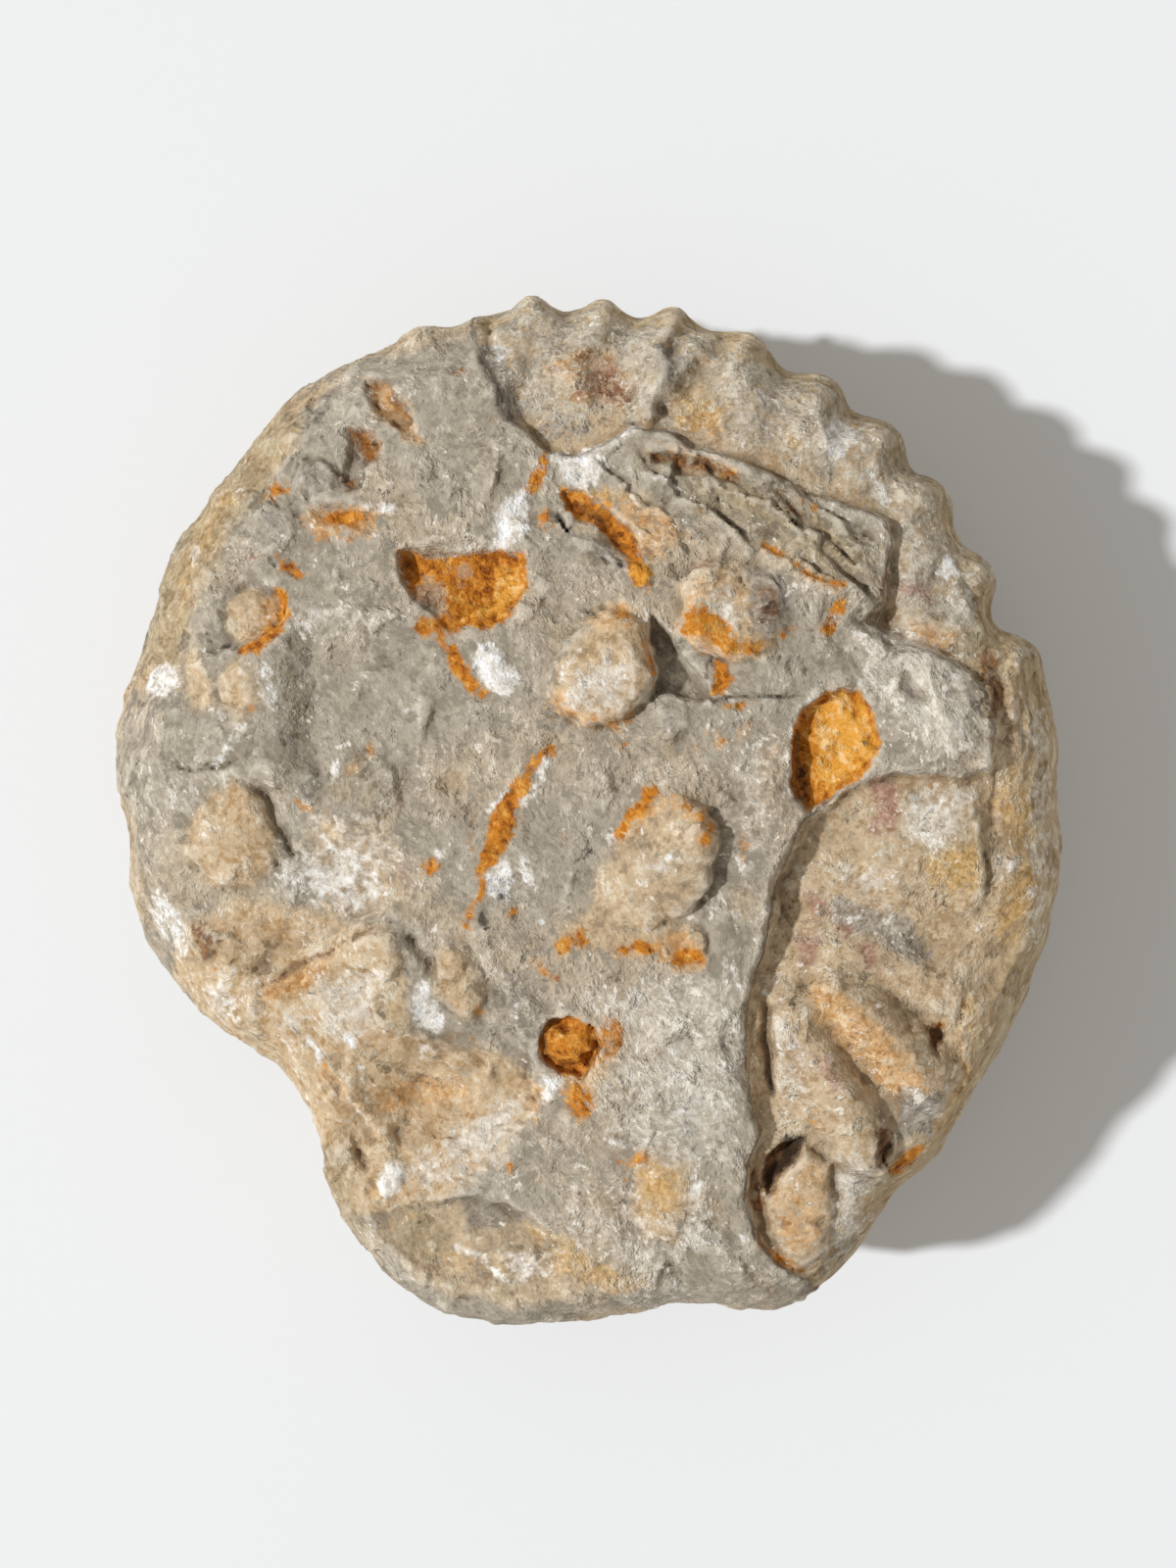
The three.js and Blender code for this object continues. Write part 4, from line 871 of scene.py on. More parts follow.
        ([(-13.6, -23.2), (-10.6, -24), (-10, -26), (-13.4, -25)], 0.7),
        ([(-14, -1), (-11.4, -0.6), (-11.4, -4), (-13.4, -4)], 0.5),
        ([(17.4, 28.4), (22, 27), (24, 21.4), (20, 19.4), (17.8, 23)], 0.95),
        ([(16, 34.6), (24, 33), (24, 30.6), (19, 31)], 0.5),
    ],
}

# Spots of each kind: middle, half sizes, turn and strength.
SPOTS = {
    "rust": [
        ((-18.6, 21.3), (1, 1), 0, 1), ((-46.2, 24.3), (0.9, 0.4), -60, 0.8),
        ((-5.3, 34), (0.9, 1.1), 0, 0.8), ((16.3, 38.8), (1.8, 0.6), -5, 0.7),
        ((-4.2, 32.3), (0.7, 1.2), 20, 0.6), ((17.6, -3.8), (0.5, 1.4), 0, 0.8),
        ((-8.6, -11.5), (0.8, 0.8), 0, 0.7), ((-17.9, -6), (1.4, 1), 0, 0.8),
        ((6, -39.5), (2, 1.2), 0, 0.5), ((-26.9, 5), (0.4, 0.9), 0, 0.9),
        ((-25.3, 7.2), (0.4, 0.6), 0, 0.8), ((-33, 0.9), (1.1, 0.5), -20, 0.8),
        ((-38.5, 11.8), (1, 0.5), 20, 0.7), ((40.7, -24.6), (0.8, 0.7), 0, 0.7),
        ((-30, -29.5), (0.8, 1.4), 0, 0.66), ((-12.3, -22.5), (0.7, 1.3), 0, 0.6),
        ((23.4, -51.4), (1.6, 0.7), -35, 0.7), ((-6, -41.2), (0.3, 0.9), 25, 0.8),
        ((2.9, 45.5), (0.7, 0.5), 0, 0.8), ((-3.3, 47.3), (1.2, 0.4), -20, 0.6),
        ((26.2, 43), (0.8, 1.5), 0, 0.4), ((-8.8, -40.7), (0.35, 0.6), 0, 0.9),
        ((-14.6, -25.5), (1.4, 0.4), -10, 0.6), ((-2.3, -2), (0.5, 0.8), -40, 0.66),
        ((3.4, 8), (0.9, 0.4), 0, 0.66), ((-8.4, 34), (0.5, 0.5), 0, 0.6),
        ((-10.8, 45), (0.4, 0.4), 0, 0.8),
    ],
    "amber": [
        ((-35.6, 22.4), (0.9, 1.8), -15, 0.6), ((-27, 34), (2.4, 0.7), -5, 0.6),
        ((4.6, 24), (1.6, 0.7), 20, 0.5), ((13, 22.6), (1.6, 0.6), 0, 0.6),
        ((17.4, 18.5), (2, 0.7), 0, 0.55), ((15, 16), (0.7, 1.4), 0, 0.6),
        ((2.6, 35.2), (2.6, 0.8), -35, 0.55), ((-2.6, -14.8), (1.4, 0.8), 0, 0.55),
        ((-17.7, -6), (1, 0.7), 0, 0.6), ((-36.8, 38), (1.2, 0.7), 0, 0.6),
    ],
    "brown": [
        ((24, 34.7), (1.2, 0.6), -40, 0.8), ((-22, 48), (1.4, 0.5), -60, 0.8),
        ((3, 48.7), (2.6, 0.8), -10, 0.6), ((-38, 37.9), (0.35, 0.5), 0, 1),
        ((-7.2, -31), (0.3, 0.9), 0, 1), ((-6.4, -32.8), (0.8, 0.3), 0, 1),
        ((-26.4, -39.4), (1.1, 0.35), -40, 1), ((25.2, 20.6), (0.6, 1.2), 20, 0.6),
        ((10.3, -46), (0.4, 0.6), 0, 0.8), ((-16, 3), (1.2, 0.5), 60, 0.5),
        ((-7.4, -1.6), (0.7, 2), 5, 0.55), ((33, -37), (0.8, 1), 0, 0.7),
    ],
    "chalk": [
        ((-23.1, 35), (1, 0.8), 0, 0.9), ((44.2, 25.4), (0.7, 0.8), 0, 0.8),
        ((3.5, -37.2), (1.3, 0.4), 0, 0.9), ((-17.2, -4.8), (0.7, 0.5), 0, 0.9),
        ((-46.3, 30.4), (0.8, 1.3), 0, 0.75), ((12.3, -42.4), (0.9, 1.3), 0, 0.8),
        ((-10, 53.5), (1, 2), 30, 0.6), ((8.8, 37.8), (2, 0.8), -20, 0.6),
        ((39, 1.3), (1.8, 0.6), 0, 0.7), ((2.6, -2.6), (0.9, 0.9), 0, 0.75),
        ((9.4, -4.4), (0.9, 0.7), 0, 0.7), ((10.5, -33.3), (1.2, 1), 0, 0.62),
        ((9.3, -27), (1, 0.8), 0, 0.6), ((-1.3, -46.5), (0.8, 0.8), 0, 0.66),
        ((13, -47.5), (0.8, 0.5), 20, 0.7), ((17.5, -48.5), (0.7, 0.5), 0, 0.7),
        ((-32.5, 21.5), (0.6, 0.5), 0, 0.8), ((-28.4, 20.6), (0.6, 0.4), 0, 0.8),
        ((-5.8, -12), (0.5, 0.35), -50, 1), ((17.5, -5.9), (0.5, 0.5), 0, 0.9),
        ((-38.4, 26.6), (1.4, 0.4), 10, 0.75), ((32.9, -14), (0.4, 1.4), -20, 0.6),
        ((-29, 5.2), (0.5, 0.9), 0, 0.9), ((34, -4.6), (1, 0.4), 0, 0.6),
    ],
    "slate": [
        ((11, 43.2), (3, 0.8), -30, 0.7), ((44, 13), (1.6, 3), 20, 0.5), ((28.5, 34), (1, 0.5), -30, 0.6),
        ((9, 36.4), (2.8, 0.5), -10, 0.7), ((-1, -44), (0.9, 0.3), -60, 0.9),
        ((20.5, 14), (0.8, 0.4), 0, 0.8), ((19.4, 11), (0.5, 0.7), 0, 0.8),
        ((-29, 35.2), (1, 0.5), 0, 0.8),
    ],
}

# Strokes of each kind: points, half width and strength.
STROKES = {
    "rust": [
        ([(-18.8, 21.9), (-17.4, 22.2), (-16, 19.5), (-14.6, 17.2), (-13, 15), (-11.6, 13.7)], 0.62, 1),
        ([(-39.8, 18.8), (-37.6, 19.3), (-36, 21), (-35, 23.4), (-35.4, 25.6)], 0.75, 0.95),
        ([(-4.8, 41.3), (-5.5, 39.2), (-6.5, 37.2)], 0.6, 0.9),
        ([(-3.4, 13.2), (-2, 11.2), (0, 10.3), (3, 10.6), (5.4, 11.4)], 0.5, 0.6),
        ([(6.2, 19.6), (7, 17), (7.2, 14.4)], 0.4, 0.72),
        ([(12.2, 7.4), (14, 8), (16.2, 8.7)], 0.4, 0.62),
        ([(26.9, 21), (28, 22.4), (29.1, 23.7)], 0.7, 0.9),
        (LAYER_EDGE, 0.5, 0.72),
        ([(-13.2, 0), (-13.2, -3.4)], 0.5, 0.62),
        ([(3.6, -2.4), (4.4, -0.4), (6, 0.9), (7.6, 2.3)], 0.8, 0.78),
        ([(9, 2), (11, 0.8), (12.8, 0), (13.8, -2)], 0.8, 0.62),
        ([(-6.2, -17.3), (-4.5, -18.6), (-2.8, -18.9)], 0.4, 0.8),
        ([(3.4, -38.2), (3.6, -40), (4, -42)], 0.5, 0.62),
        ([(19.6, -49.6), (22.4, -51.8), (24.9, -52.8)], 0.7, 0.62),
        ([(-32.9, 34.4), (-32.2, 32.6), (-31, 31.5), (-27, 31.6)], 0.35, 0.72),
        ([(24.5, 36.4), (26.2, 35.2)], 0.5, 0.6),
    ],
    "chalk": [
        ([(-3.2, 41.3), (-1.4, 40.8), (0.3, 41.9), (1.8, 42.3), (3.4, 43), (5, 44.3)], 0.35, 0.9),
        ([(-0.6, 19), (-3.2, 15.4)], 0.3, 0.9), ([(32.6, 38.8), (34.6, 36)], 0.45, 0.9),
        ([(-12.3, -0.4), (-10.2, 1.1), (-8.6, 2.7), (-7.2, 4.2)], 0.4, 0.9),
        ([(-4.6, 6.2), (-5.8, 4.4), (-6.4, 2.4), (-7.2, 1.4)], 0.55, 0.9),
        ([(15.2, -16.5), (16.8, -19.4)], 0.4, 0.8), ([(-36.6, 17), (-36, 13)], 0.35, 0.75),
        ([(-15, -49.8), (-12, -51.4), (-9.8, -53.8)], 0.45, 0.9),
        ([(-22.2, 10.4), (-19.6, 11.8), (-19.3, 10.6)], 0.35, 0.8),
        ([(-32.4, -25.8), (-30.3, -27.8)], 0.5, 0.9), ([(-39.2, 10), (-41.6, 7), (-43, 5.8)], 0.4, 0.75),
        ([(-31.8, -0.4), (-31.2, -2.6), (-29.4, -3.8)], 0.35, 0.8),
        ([(22.8, 9.6), (22.4, 2)], 0.45, 0.72), ([(33, 20.4), (35.4, 19)], 0.35, 0.7),
        ([(29.9, 21.5), (33, 19.6), (34.2, 16.6)], 0.5, 0.55), ([(-28, -33), (-26, -35)], 0.3, 0.7),
        ([(-25.6, -36), (-25.4, -33), (-26.4, -29)], 0.4, 0.6), ([(31.5, -20), (33.5, -22.5)], 0.35, 0.7),
        ([(-43.8, 17.6), (-43, 13), (-41.6, 10.6)], 0.3, 0.6),
        ([(29, -12), (31.4, -11.6), (33, -13.8)], 0.4, 0.55), ([(-2, 8.6), (0.6, 9)], 0.3, 0.6),
        ([(-4.6, 41.4), (-7, 38.6)], 0.3, 0.7),
    ],
    "tan": [
        ([(-9.5, 54), (-6, 51), (-2, 47)], 1, 0.6),
        (LAYER_EDGE, 0.9, 0.7),
        ([(25.8, 34), (28, 31.5), (28.3, 29.8), (32, 26.5)], 0.8, 0.6),
    ],
    # Brown lines: mostly painted shade along walls, creases and the rims of hollows, such as the sliver's
    # cast shadow, the slab's broken wall at the top left, the step at the lobe's end and the ridge over
    # the scoop; the rest are brown streaks.
    "brown": [
        ([(-38.4, -20.6), (-34, -17.3), (-30, -16), (-26, -13.5), (-22.6, -12.6)], 0.3, 0.72),
        ([(-12.8, 53.6), (-10.8, 49.8), (-9.4, 46)], 0.5, 0.6),
        ([(-5, -25), (-4, -28.6), (-1.4, -30)], 0.4, 0.6),
        ([(0.6, -24.2), (1, -27), (0, -29.4)], 0.4, 0.6),
        ([(45.4, 18), (46.2, 13), (45.6, 8)], 0.5, 0.62), ([(18, 38.8), (24, 35.4), (30, 33)], 0.3, 0.62),
        ([(33.8, 33), (34.3, 29), (33.4, 25)], 0.5, 0.62), ([(46, 2), (46.2, -4), (46.8, -9)], 0.4, 0.62),
        ([(42.8, -20), (42.4, -26), (42.4, -31)], 0.5, 0.6),
        ([(-29.6, -31), (-28.9, -34), (-26.4, -37)], 0.3, 0.66),
        ([(-18.8, -27), (-13, -26.4), (-8, -28.6)], 0.3, 0.55),
    ],
    "ochre": [
        ([(51, 2), (50, -9), (48.4, -14)], 2, 0.55), ([(-3, 37), (1, 36.6), (4, 36.4)], 1, 0.55),
        ([(43.6, -22), (44, -30), (41.4, -36)], 1.6, 0.55),
    ],
    # Dark lines: mostly painted shade, down the deep crack at the foot of the lower rib, in the cavity
    # and pits, at the head of the groove between the ribs, and along cracks, nicks and the feet of steps;
    # a few are dark cracks of the rock itself.
    "dark": [
        ([(20.5, -23), (20.3, -26), (21, -29.4), (21.6, -33)], 0.4, 0.7),
        ([(-48.2, 5.2), (-45.6, 4.8), (-43, 5.3), (-40.4, 6)], 0.35, 0.7),
        ([(-42.2, 19.6), (-40.6, 18.9)], 0.4, 0.85), ([(-44.2, 21), (-42.8, 18.6)], 0.35, 0.85),
        ([(-34.8, 35.6), (-33.8, 34.4)], 0.4, 0.8),
        ([(14.2, 12.8), (17, 13.3), (19.2, 13), (22, 13), (24.4, 13.4)], 0.2, 0.85),
        ([(-3.3, 34), (-2.4, 32)], 0.4, 1), ([(0.2, 29.8), (2, 28.8), (3.8, 28.4)], 0.35, 0.8),
        ([(-0.6, 23.7), (1.2, 22.2)], 0.35, 0.85), ([(-37.2, 29.6), (-36.6, 29)], 0.3, 0.9),
        ([(13.4, 38.2), (14.8, 35.4), (15.4, 34), (17.5, 32.3), (18.4, 30.5)], 0.25, 0.8),
        ([(-21.2, 5.6), (-20.8, 3.6), (-21.6, 1.8)], 0.25, 0.75),
        ([(-12.1, -11.3), (-11.7, -12.1)], 0.4, 1),
        ([(-33.4, 41.3), (-31, 41.2), (-29.2, 39.9)], 0.25, 0.75),
        ([(45.2, -4.6), (45.7, -7), (46.8, -8.2)], 0.35, 0.75),
        ([(45.1, 14.4), (45.6, 11.6), (46.2, 9.4)], 0.4, 0.6), ([(40, -25.2), (39.7, -27.4)], 0.35, 0.75),
        ([(24, -37.8), (23, -40), (21.4, -42.4)], 0.8, 0.85), ([(22.4, -21), (24.4, -22.6)], 0.5, 0.7),
        ([(22.4, -37.3), (24, -37.8)], 0.5, 0.9), ([(-14.7, -55.4), (-14, -55.8)], 0.4, 0.9),
        ([(-12.9, 18.9), (-12.5, 18.9)], 0.3, 0.9), ([(-10.2, -9.3), (-10.2, -10.1)], 0.3, 0.9),
        ([(8.6, 17), (9.4, 15.2)], 0.25, 0.8), ([(16.2, 10.2), (17.2, 9.4)], 0.25, 0.7),
        ([(24.2, 16.9), (24.8, 16.4)], 0.4, 0.9), ([(-1.6, -5.6), (0.6, -4.3)], 0.3, 0.75),
        ([(-4.6, -25.6), (-4.4, -27.6)], 0.3, 0.7), ([(-46, -6.4), (-44.4, -7), (-43.6, -6.4)], 0.3, 0.6),
        ([(-42.4, -8.8), (-40.2, -9.6)], 0.3, 0.6),
        ([(-34.4, -21), (-33.8, -22.6), (-33.4, -24)], 0.3, 0.6), ([(4, -26.5), (5.4, -27.3)], 0.3, 0.7),
        ([(36.4, -36.6), (39, -33.4)], 0.3, 0.7), ([(-16.2, 3.6), (-14.4, 4.6)], 0.25, 0.5),
        ([(4.6, 45), (5.2, 44.6)], 0.3, 0.9), ([(7, -14.9), (7.2, -15.3)], 0.4, 0.9),
        ([(-10.7, 55.8), (-7, 54.9)], 0.25, 0.7), ([(33.4, -10.6), (35, -12)], 0.25, 0.6),
    ],
}
# How many millimetres a mask takes to fall from 1 to 0 across an edge. Some kinds' areas
# have softer edges.
SOFTNESS = 1.6
AREA_SOFTNESS = {
    "ash": 5,
    "tan": 3,
    "peach": 2.6,
    "ochre": 4,
    "olive": 4,
    "slate": 2.2,
    "pink": 2.6,
    "pale": 4,
}
MASK_KINDS = sorted({*AREAS, *SPOTS, *STROKES})

# The levels between which the stains and painted shade of the upper side fade in.
STAINS_AND_SHADE_FROM = WAIST - 3
STAINS_AND_SHADE_FULL = WAIST + 6

# Between the shell of the two sides: how far the seam lies under the waist, how far it
# wanders, and over what height it fades.
SEAM_DROP = 7
SEAM_WANDER = 6
SEAM_FADE = 2.5


def slab_side(x, y):
    """How far a point is outside the slab's broken edge, and the drop and the wall's width there."""
    edge = [(a, b) for a, b, *_ in LEDGE]
    away, _ = path_measures(x, y, edge)
    weights = [1 / (2 + (x - a) ** 2 + (y - b) ** 2) ** 1.5 for a, b in edge]
    drop, wall = (sum(w * row[k] for w, row in zip(weights, LEDGE)) / sum(weights) for k in (2, 3))
    slab = edge + [(-90, -90), (-90, 90)]  # closed round the stone's left side
    return np.where(inwards(x, y, slab) > 0, -1, 1) * np.abs(away), drop, wall


def marks(kind, x, y):
    """For each mark of a kind, its strength, and how far (x, y) is inside it in widths of its edge."""
    for outline, strength in AREAS.get(kind, []):
        yield strength, inwards(x, y, outline) / AREA_SOFTNESS.get(kind, SOFTNESS)
    for at, half, turn, strength in SPOTS.get(kind, []):
        yield strength, (1 - reach(x, y, at, half, turn)) * min(half) / SOFTNESS
    for path, half_width, strength in STROKES.get(kind, []):
        yield strength, (half_width - np.abs(path_measures(x, y, path)[0])) / SOFTNESS


def stain_and_shade_masks(points):
    """Each kind's share, 0 to 1, at points on the surface: half its strength on its edges."""
    x, y = wobbled(points[:, 0].astype(float), points[:, 1].astype(float))
    upper = smoothstep(points[:, 2] + 5 * fractal(points, 12, 92, 2), STAINS_AND_SHADE_FROM, STAINS_AND_SHADE_FULL)
    masks = {}
    for kind in MASK_KINDS:
        shares = [strength * np.clip(0.5 + depth, 0, 1) for strength, depth in marks(kind, x, y)]
        masks[kind] = np.max(shares, axis=0) * upper
    masks["shell"] = bare_shell(points[:, 2], *shell_shares(x, y))
    return masks


# ---------------------------------------------------------------- the solid on its grid

# How far from the surface the knobs and the grain are worked out.
KNOB_BAND = 4
GRAIN_BAND = 1.8
EDGE_REACH = 1.3  # how far round a point the solid is averaged, to tell edges from hollows

# The streaks: their turn in the slab, from +Y towards -X, how far they wander, and the radius
# at which those of the whorl are as long as those of the slab.
STREAK_TURN = math.radians(28)
STREAK_WANDER = 1.6
STREAK_RADIUS = 45


def solid_field():
    """The distance to the stone's surface over a grid, negative inside, and the grid's axes."""
    low = np.array([stone_low[0], stone_low[1], 0]) - MARGIN * GRID_STEP - np.array([1, 1, 0])
    high = stone_high + MARGIN * GRID_STEP + 1
    low[2] += 0.5 * GRID_STEP
    axes = [np.arange(a, b, GRID_STEP, dtype=np.float32) for a, b in zip(low, high)]
    x, y = np.meshgrid(axes[0], axes[1], indexing="ij")
    z = axes[2]
    turns = np.arctan2(y, x)
    radius = np.hypot(x, y)
    plan = round_curve(PLAN_BY_ANGLE, turns)
    upper_edge = round_curve(EDGE_WIDTH, turns)
    upper_power = round_curve(EDGE_POWER, turns)
    drawn = wobbled(x, y)
    top = np.maximum(upper_level(*drawn), 1.4 * WAIST)
    bottom = lower_level(x, y)

    over = np.clip((radius - plan + upper_edge) / upper_edge, 0, None).astype(np.float32)
    under = np.clip((radius - plan + LOWER_EDGE) / LOWER_EDGE, 0, None).astype(np.float32)
    field = np.empty((*x.shape, len(z)), np.float32)
    for k, level in enumerate(z):
        if level >= WAIST:
            share, beyond, power = (level - WAIST) / (top - WAIST), over, upper_power
        else:
            share, beyond, power = (WAIST - level) / (WAIST - bottom), under, LOWER_POWER
        field[:, :, k] = (share**power + beyond**power) ** (1 / power) - 1
    slopes = np.gradient(field, GRID_STEP)
    steepness = np.sqrt(sum(slope**2 for slope in slopes))
    del slopes
    field /= np.maximum(steepness, 0.01)

    shares = shell_shares(*drawn)
    for band, standing in ((KNOB_BAND, knobs), (GRAIN_BAND, grain)):
        near = np.nonzero(np.abs(field) < band)
        points = np.stack([axis[i] for axis, i in zip(axes, near)], axis=1)
        across = near[:2]
        shell = bare_shell(points[:, 2], *(share[across].astype(np.float32) for share in shares))
        field[near] -= standing(points, (radius / plan)[across], shell)
    np.maximum(field, -z[None, None, :], out=field)
    return field, axes


def shell_shares(x, y):
    """Where the shell is bare, on the upper side and on the lower side: 0 where limestone covers it.

    The third array is the wavering level at which the two sides meet.
    """
    upper = smoothstep(slab_side(x, y)[0], -0.6, 0.8)
    seam = WAIST - SEAM_DROP + SEAM_WANDER * plan_fractal(x, y, 18, 91, 2)
    return upper, outside_patch(x, y), seam


def bare_shell(z, above, below, seam):
    """The share of bare shell at the level z: the lower side's up to the seam, the upper's over it."""
    return below + (above - below) * smoothstep(z, seam - SEAM_FADE, seam + SEAM_FADE)


def knobs(points, outwards, shell):
    """How far the knobs and the ribs over the rim stand out."""
    out = np.zeros(len(points), np.float32)
    rim = np.nonzero(outwards > 0.8)[0]
    x, y, z = points[rim].T
    for tip, push in KNOBS:
        direction = np.array(tip) - UMBILICUS
        direction /= np.linalg.norm(direction)
        a, b = np.array(tip) - KNOB_INSET * direction
        for level in KNOB_LEVELS:
            distance = (x - a) ** 2 + (y - b) ** 2 + 0.5 * (z - level) ** 2
            out[rim] += 0.7 * push * np.exp(-distance / (2 * KNOB_SPREAD**2))
    crest, push = rib_crests(x, y)
    height = VENTER_RIB * push + LOWER_RIB * smoothstep(WAIST - z, -1, 7)
    out[rim] += height * (crest - 0.35) * smoothstep(outwards[rim], 0.84, 0.97) * shell[rim]
    return out


def grain(points, outwards, shell):
    """How far the surface stands out because of the grain of the rock and of the shell."""
    x, y, z = points.T
    warp = np.stack([noise(points, 5, seed) for seed in (31, 32, 33)], axis=1)
    bent = points + 1.2 * warp
    broad = facets(bent * np.float32((1, 1, 1.4)), 10, 41)
    small = facets(bent, 4.2, 42)
    tiny = facets(bent, 1.9, 43)
    rock = (0.3 + 0.5 * smoothstep(outwards, 0.75, 0.95)) * broad + 0.55 * small + 0.34 * tiny + 0.4
    plain = 0.45 * noise(points, 12, 24) + 0.25 * noise(points, 5, 25) + 0.4 * small + 0.2 * tiny + 0.13
    angle, away = coil_angle(x, y)
    round_the_coil = np.stack([angle * 0.12, away, z], axis=1).astype(np.float32)
    plain += 0.3 * noise(round_the_coil, 1.8, 26) * smoothstep(outwards, 0.8, 0.92)
    return rock + (plain - rock) * shell + 0.1 * noise(points, 1.3, 27)


def blurred(field, cells):
    """The field averaged over a cube of 2 * cells + 1 grid points each way."""
    width = 2 * cells + 1
    for axis in range(3):
        pad = [(0, 0)] * 3
        pad[axis] = (cells + 1, cells)
        total = np.cumsum(np.pad(field, pad, mode="edge"), axis=axis, dtype=np.float32)
        size = field.shape[axis]
        after = np.take(total, range(width, size + width), axis=axis)
        before = np.take(total, range(size), axis=axis)
        field = (after - before) / width
    return field


def sampled(field, axes, points):
    """The field's value at points between the grid's."""
    place = [(points[:, k] - axes[k][0]) / GRID_STEP for k in range(3)]
    corner = [np.clip(p.astype(int), 0, n - 2) for p, n in zip(place, field.shape)]
    share = [p - c for p, c in zip(place, corner)]
    total = 0
    for step in itertools.product((0, 1), repeat=3):
        weight = np.prod([s if d else 1 - s for d, s in zip(step, share)], axis=0)
        total = total + weight * field[tuple(c + d for c, d in zip(corner, step))]
    return total


def skin(field, axes):
    """Surface nets: a point in each grid cell the surface crosses, a quad across each crossed edge."""
    inside = field < 0
    cells = tuple(n - 1 for n in field.shape)
    corners = list(itertools.product((0, 1), repeat=3))
    count = np.zeros(cells, np.uint8)
    for dx, dy, dz in corners:
        count += inside[dx : dx + cells[0], dy : dy + cells[1], dz : dz + cells[2]]
    active = np.nonzero((count > 0) & (count < 8))
    number = np.full(cells, -1, np.int32)
    number[active] = np.arange(len(active[0]), dtype=np.int32)
    value = [field[active[0] + c[0], active[1] + c[1], active[2] + c[2]] for c in corners]
    total = np.zeros((len(active[0]), 3), np.float32)
    crossings = np.zeros(len(active[0]), np.float32)
    for a, b in itertools.combinations(range(8), 2):
        step = np.subtract(corners[b], corners[a])
        if np.abs(step).sum() != 1:
            continue
        crossed = (value[a] < 0) != (value[b] < 0)
        t = np.where(crossed, value[a] / np.where(crossed, value[a] - value[b], 1), 0)
        total += crossed[:, None] * (np.array(corners[a], np.float32) + t[:, None] * step)
        crossings += crossed
    points = np.stack([axis[0] + GRID_STEP * i for axis, i in zip(axes, active)], axis=1)
    points += GRID_STEP * total / crossings[:, None]

    quads = []
    for axis in range(3):
        u, v = (axis + 1) % 3, (axis + 2) % 3
        here = [slice(1, n - 1) for n in field.shape]
        there = list(here)
        here[axis] = slice(0, field.shape[axis] - 1)
        there[axis] = slice(1, field.shape[axis])
        start, end = inside[tuple(here)], inside[tuple(there)]
        edges = np.nonzero(start != end)
        leaving = start[edges]
        base = [e + (0 if k == axis else 1) for k, e in enumerate(edges)]
        ring = []
        for du, dv in ((-1, -1), (0, -1), (0, 0), (-1, 0)):
            cell = list(base)
            cell[u] = cell[u] + du
            cell[v] = cell[v] + dv
            ring.append(number[tuple(cell)])
        ring = np.stack(ring, axis=1)
        quads.append(np.where(leaving[:, None], ring, ring[:, ::-1]))
    return points, np.concatenate(quads)


def mesh_object(name, points, quads):
    """An object in the scene made of four-sided faces."""
    mesh = bpy.data.meshes.new(name)
    mesh.vertices.add(len(points))
    mesh.vertices.foreach_set("co", (points * MM).astype(np.float32).ravel())
    mesh.loops.add(quads.size)
    mesh.loops.foreach_set("vertex_index", quads.astype(np.int32).ravel())
    mesh.polygons.add(len(quads))
    mesh.polygons.foreach_set("loop_start", np.arange(0, quads.size, 4, dtype=np.int32))
    mesh.update(calc_edges=True)
    mesh.validate()
    piece = bpy.data.objects.new(name, mesh)
    bpy.context.scene.collection.objects.link(piece)
    return piece


def thin_out(piece):
    """Fewer triangles where the surface is plain."""
    triangles = 2 * len(piece.data.polygons)
    modifier = piece.modifiers.new("thin", "DECIMATE")
    modifier.ratio = min(1, MOST_TRIANGLES / triangles)
    modifier.use_collapse_triangulate = True
    bpy.context.view_layer.update()
    seen = piece.evaluated_get(bpy.context.evaluated_depsgraph_get())
    mesh = bpy.data.meshes.new_from_object(seen)
    piece.modifiers.clear()
    piece.data = mesh


def vertex_points(mesh):
    """The mesh's points in millimetres."""
    points = np.empty(3 * len(mesh.vertices), np.float32)
    mesh.vertices.foreach_get("co", points)
    return points.reshape(-1, 3) / MM


def blunt_spikes(mesh):
    """Draws the tips of thin spikes back onto the mean of what lies round them.

    The corners that meet at a flat point add up to a full turn, and at the tip of a spike to much less.
    """
    points = vertex_points(mesh)
    count = len(points)
    faces = np.empty(3 * len(mesh.polygons), np.int32)
    mesh.polygons.foreach_get("vertices", faces)
    faces = faces.reshape(-1, 3)
    shares = np.bincount(faces.ravel(), minlength=count)
    for _ in range(BLUNTING_ROUNDS):
        turn = np.zeros(count)
        for k in range(3):
            one, other = (points[faces[:, (k + n) % 3]] - points[faces[:, k]] for n in (1, 2))
            lengths = np.linalg.norm(one, axis=1) * np.linalg.norm(other, axis=1)
            cosine = np.sum(one * other, axis=1) / np.maximum(lengths, 1e-9)
            turn += np.bincount(faces[:, k], np.degrees(np.arccos(np.clip(cosine, -1, 1))), count)
        middles = np.repeat(points[faces].mean(axis=1), 3, axis=0)
        means = [np.bincount(faces.ravel(), middles[:, k], count) / shares for k in range(3)]
        sharp = turn < SPIKE_TURN
        points[sharp] = np.stack(means, axis=1)[sharp]
    mesh.vertices.foreach_set("co", (points * MM).ravel())


def add_mask(mesh, name, values):
    """Stores one value for each of the mesh's points."""
    attribute = mesh.attributes.new(name, "FLOAT", "POINT")
    attribute.data.foreach_set("value", values.astype(np.float32))


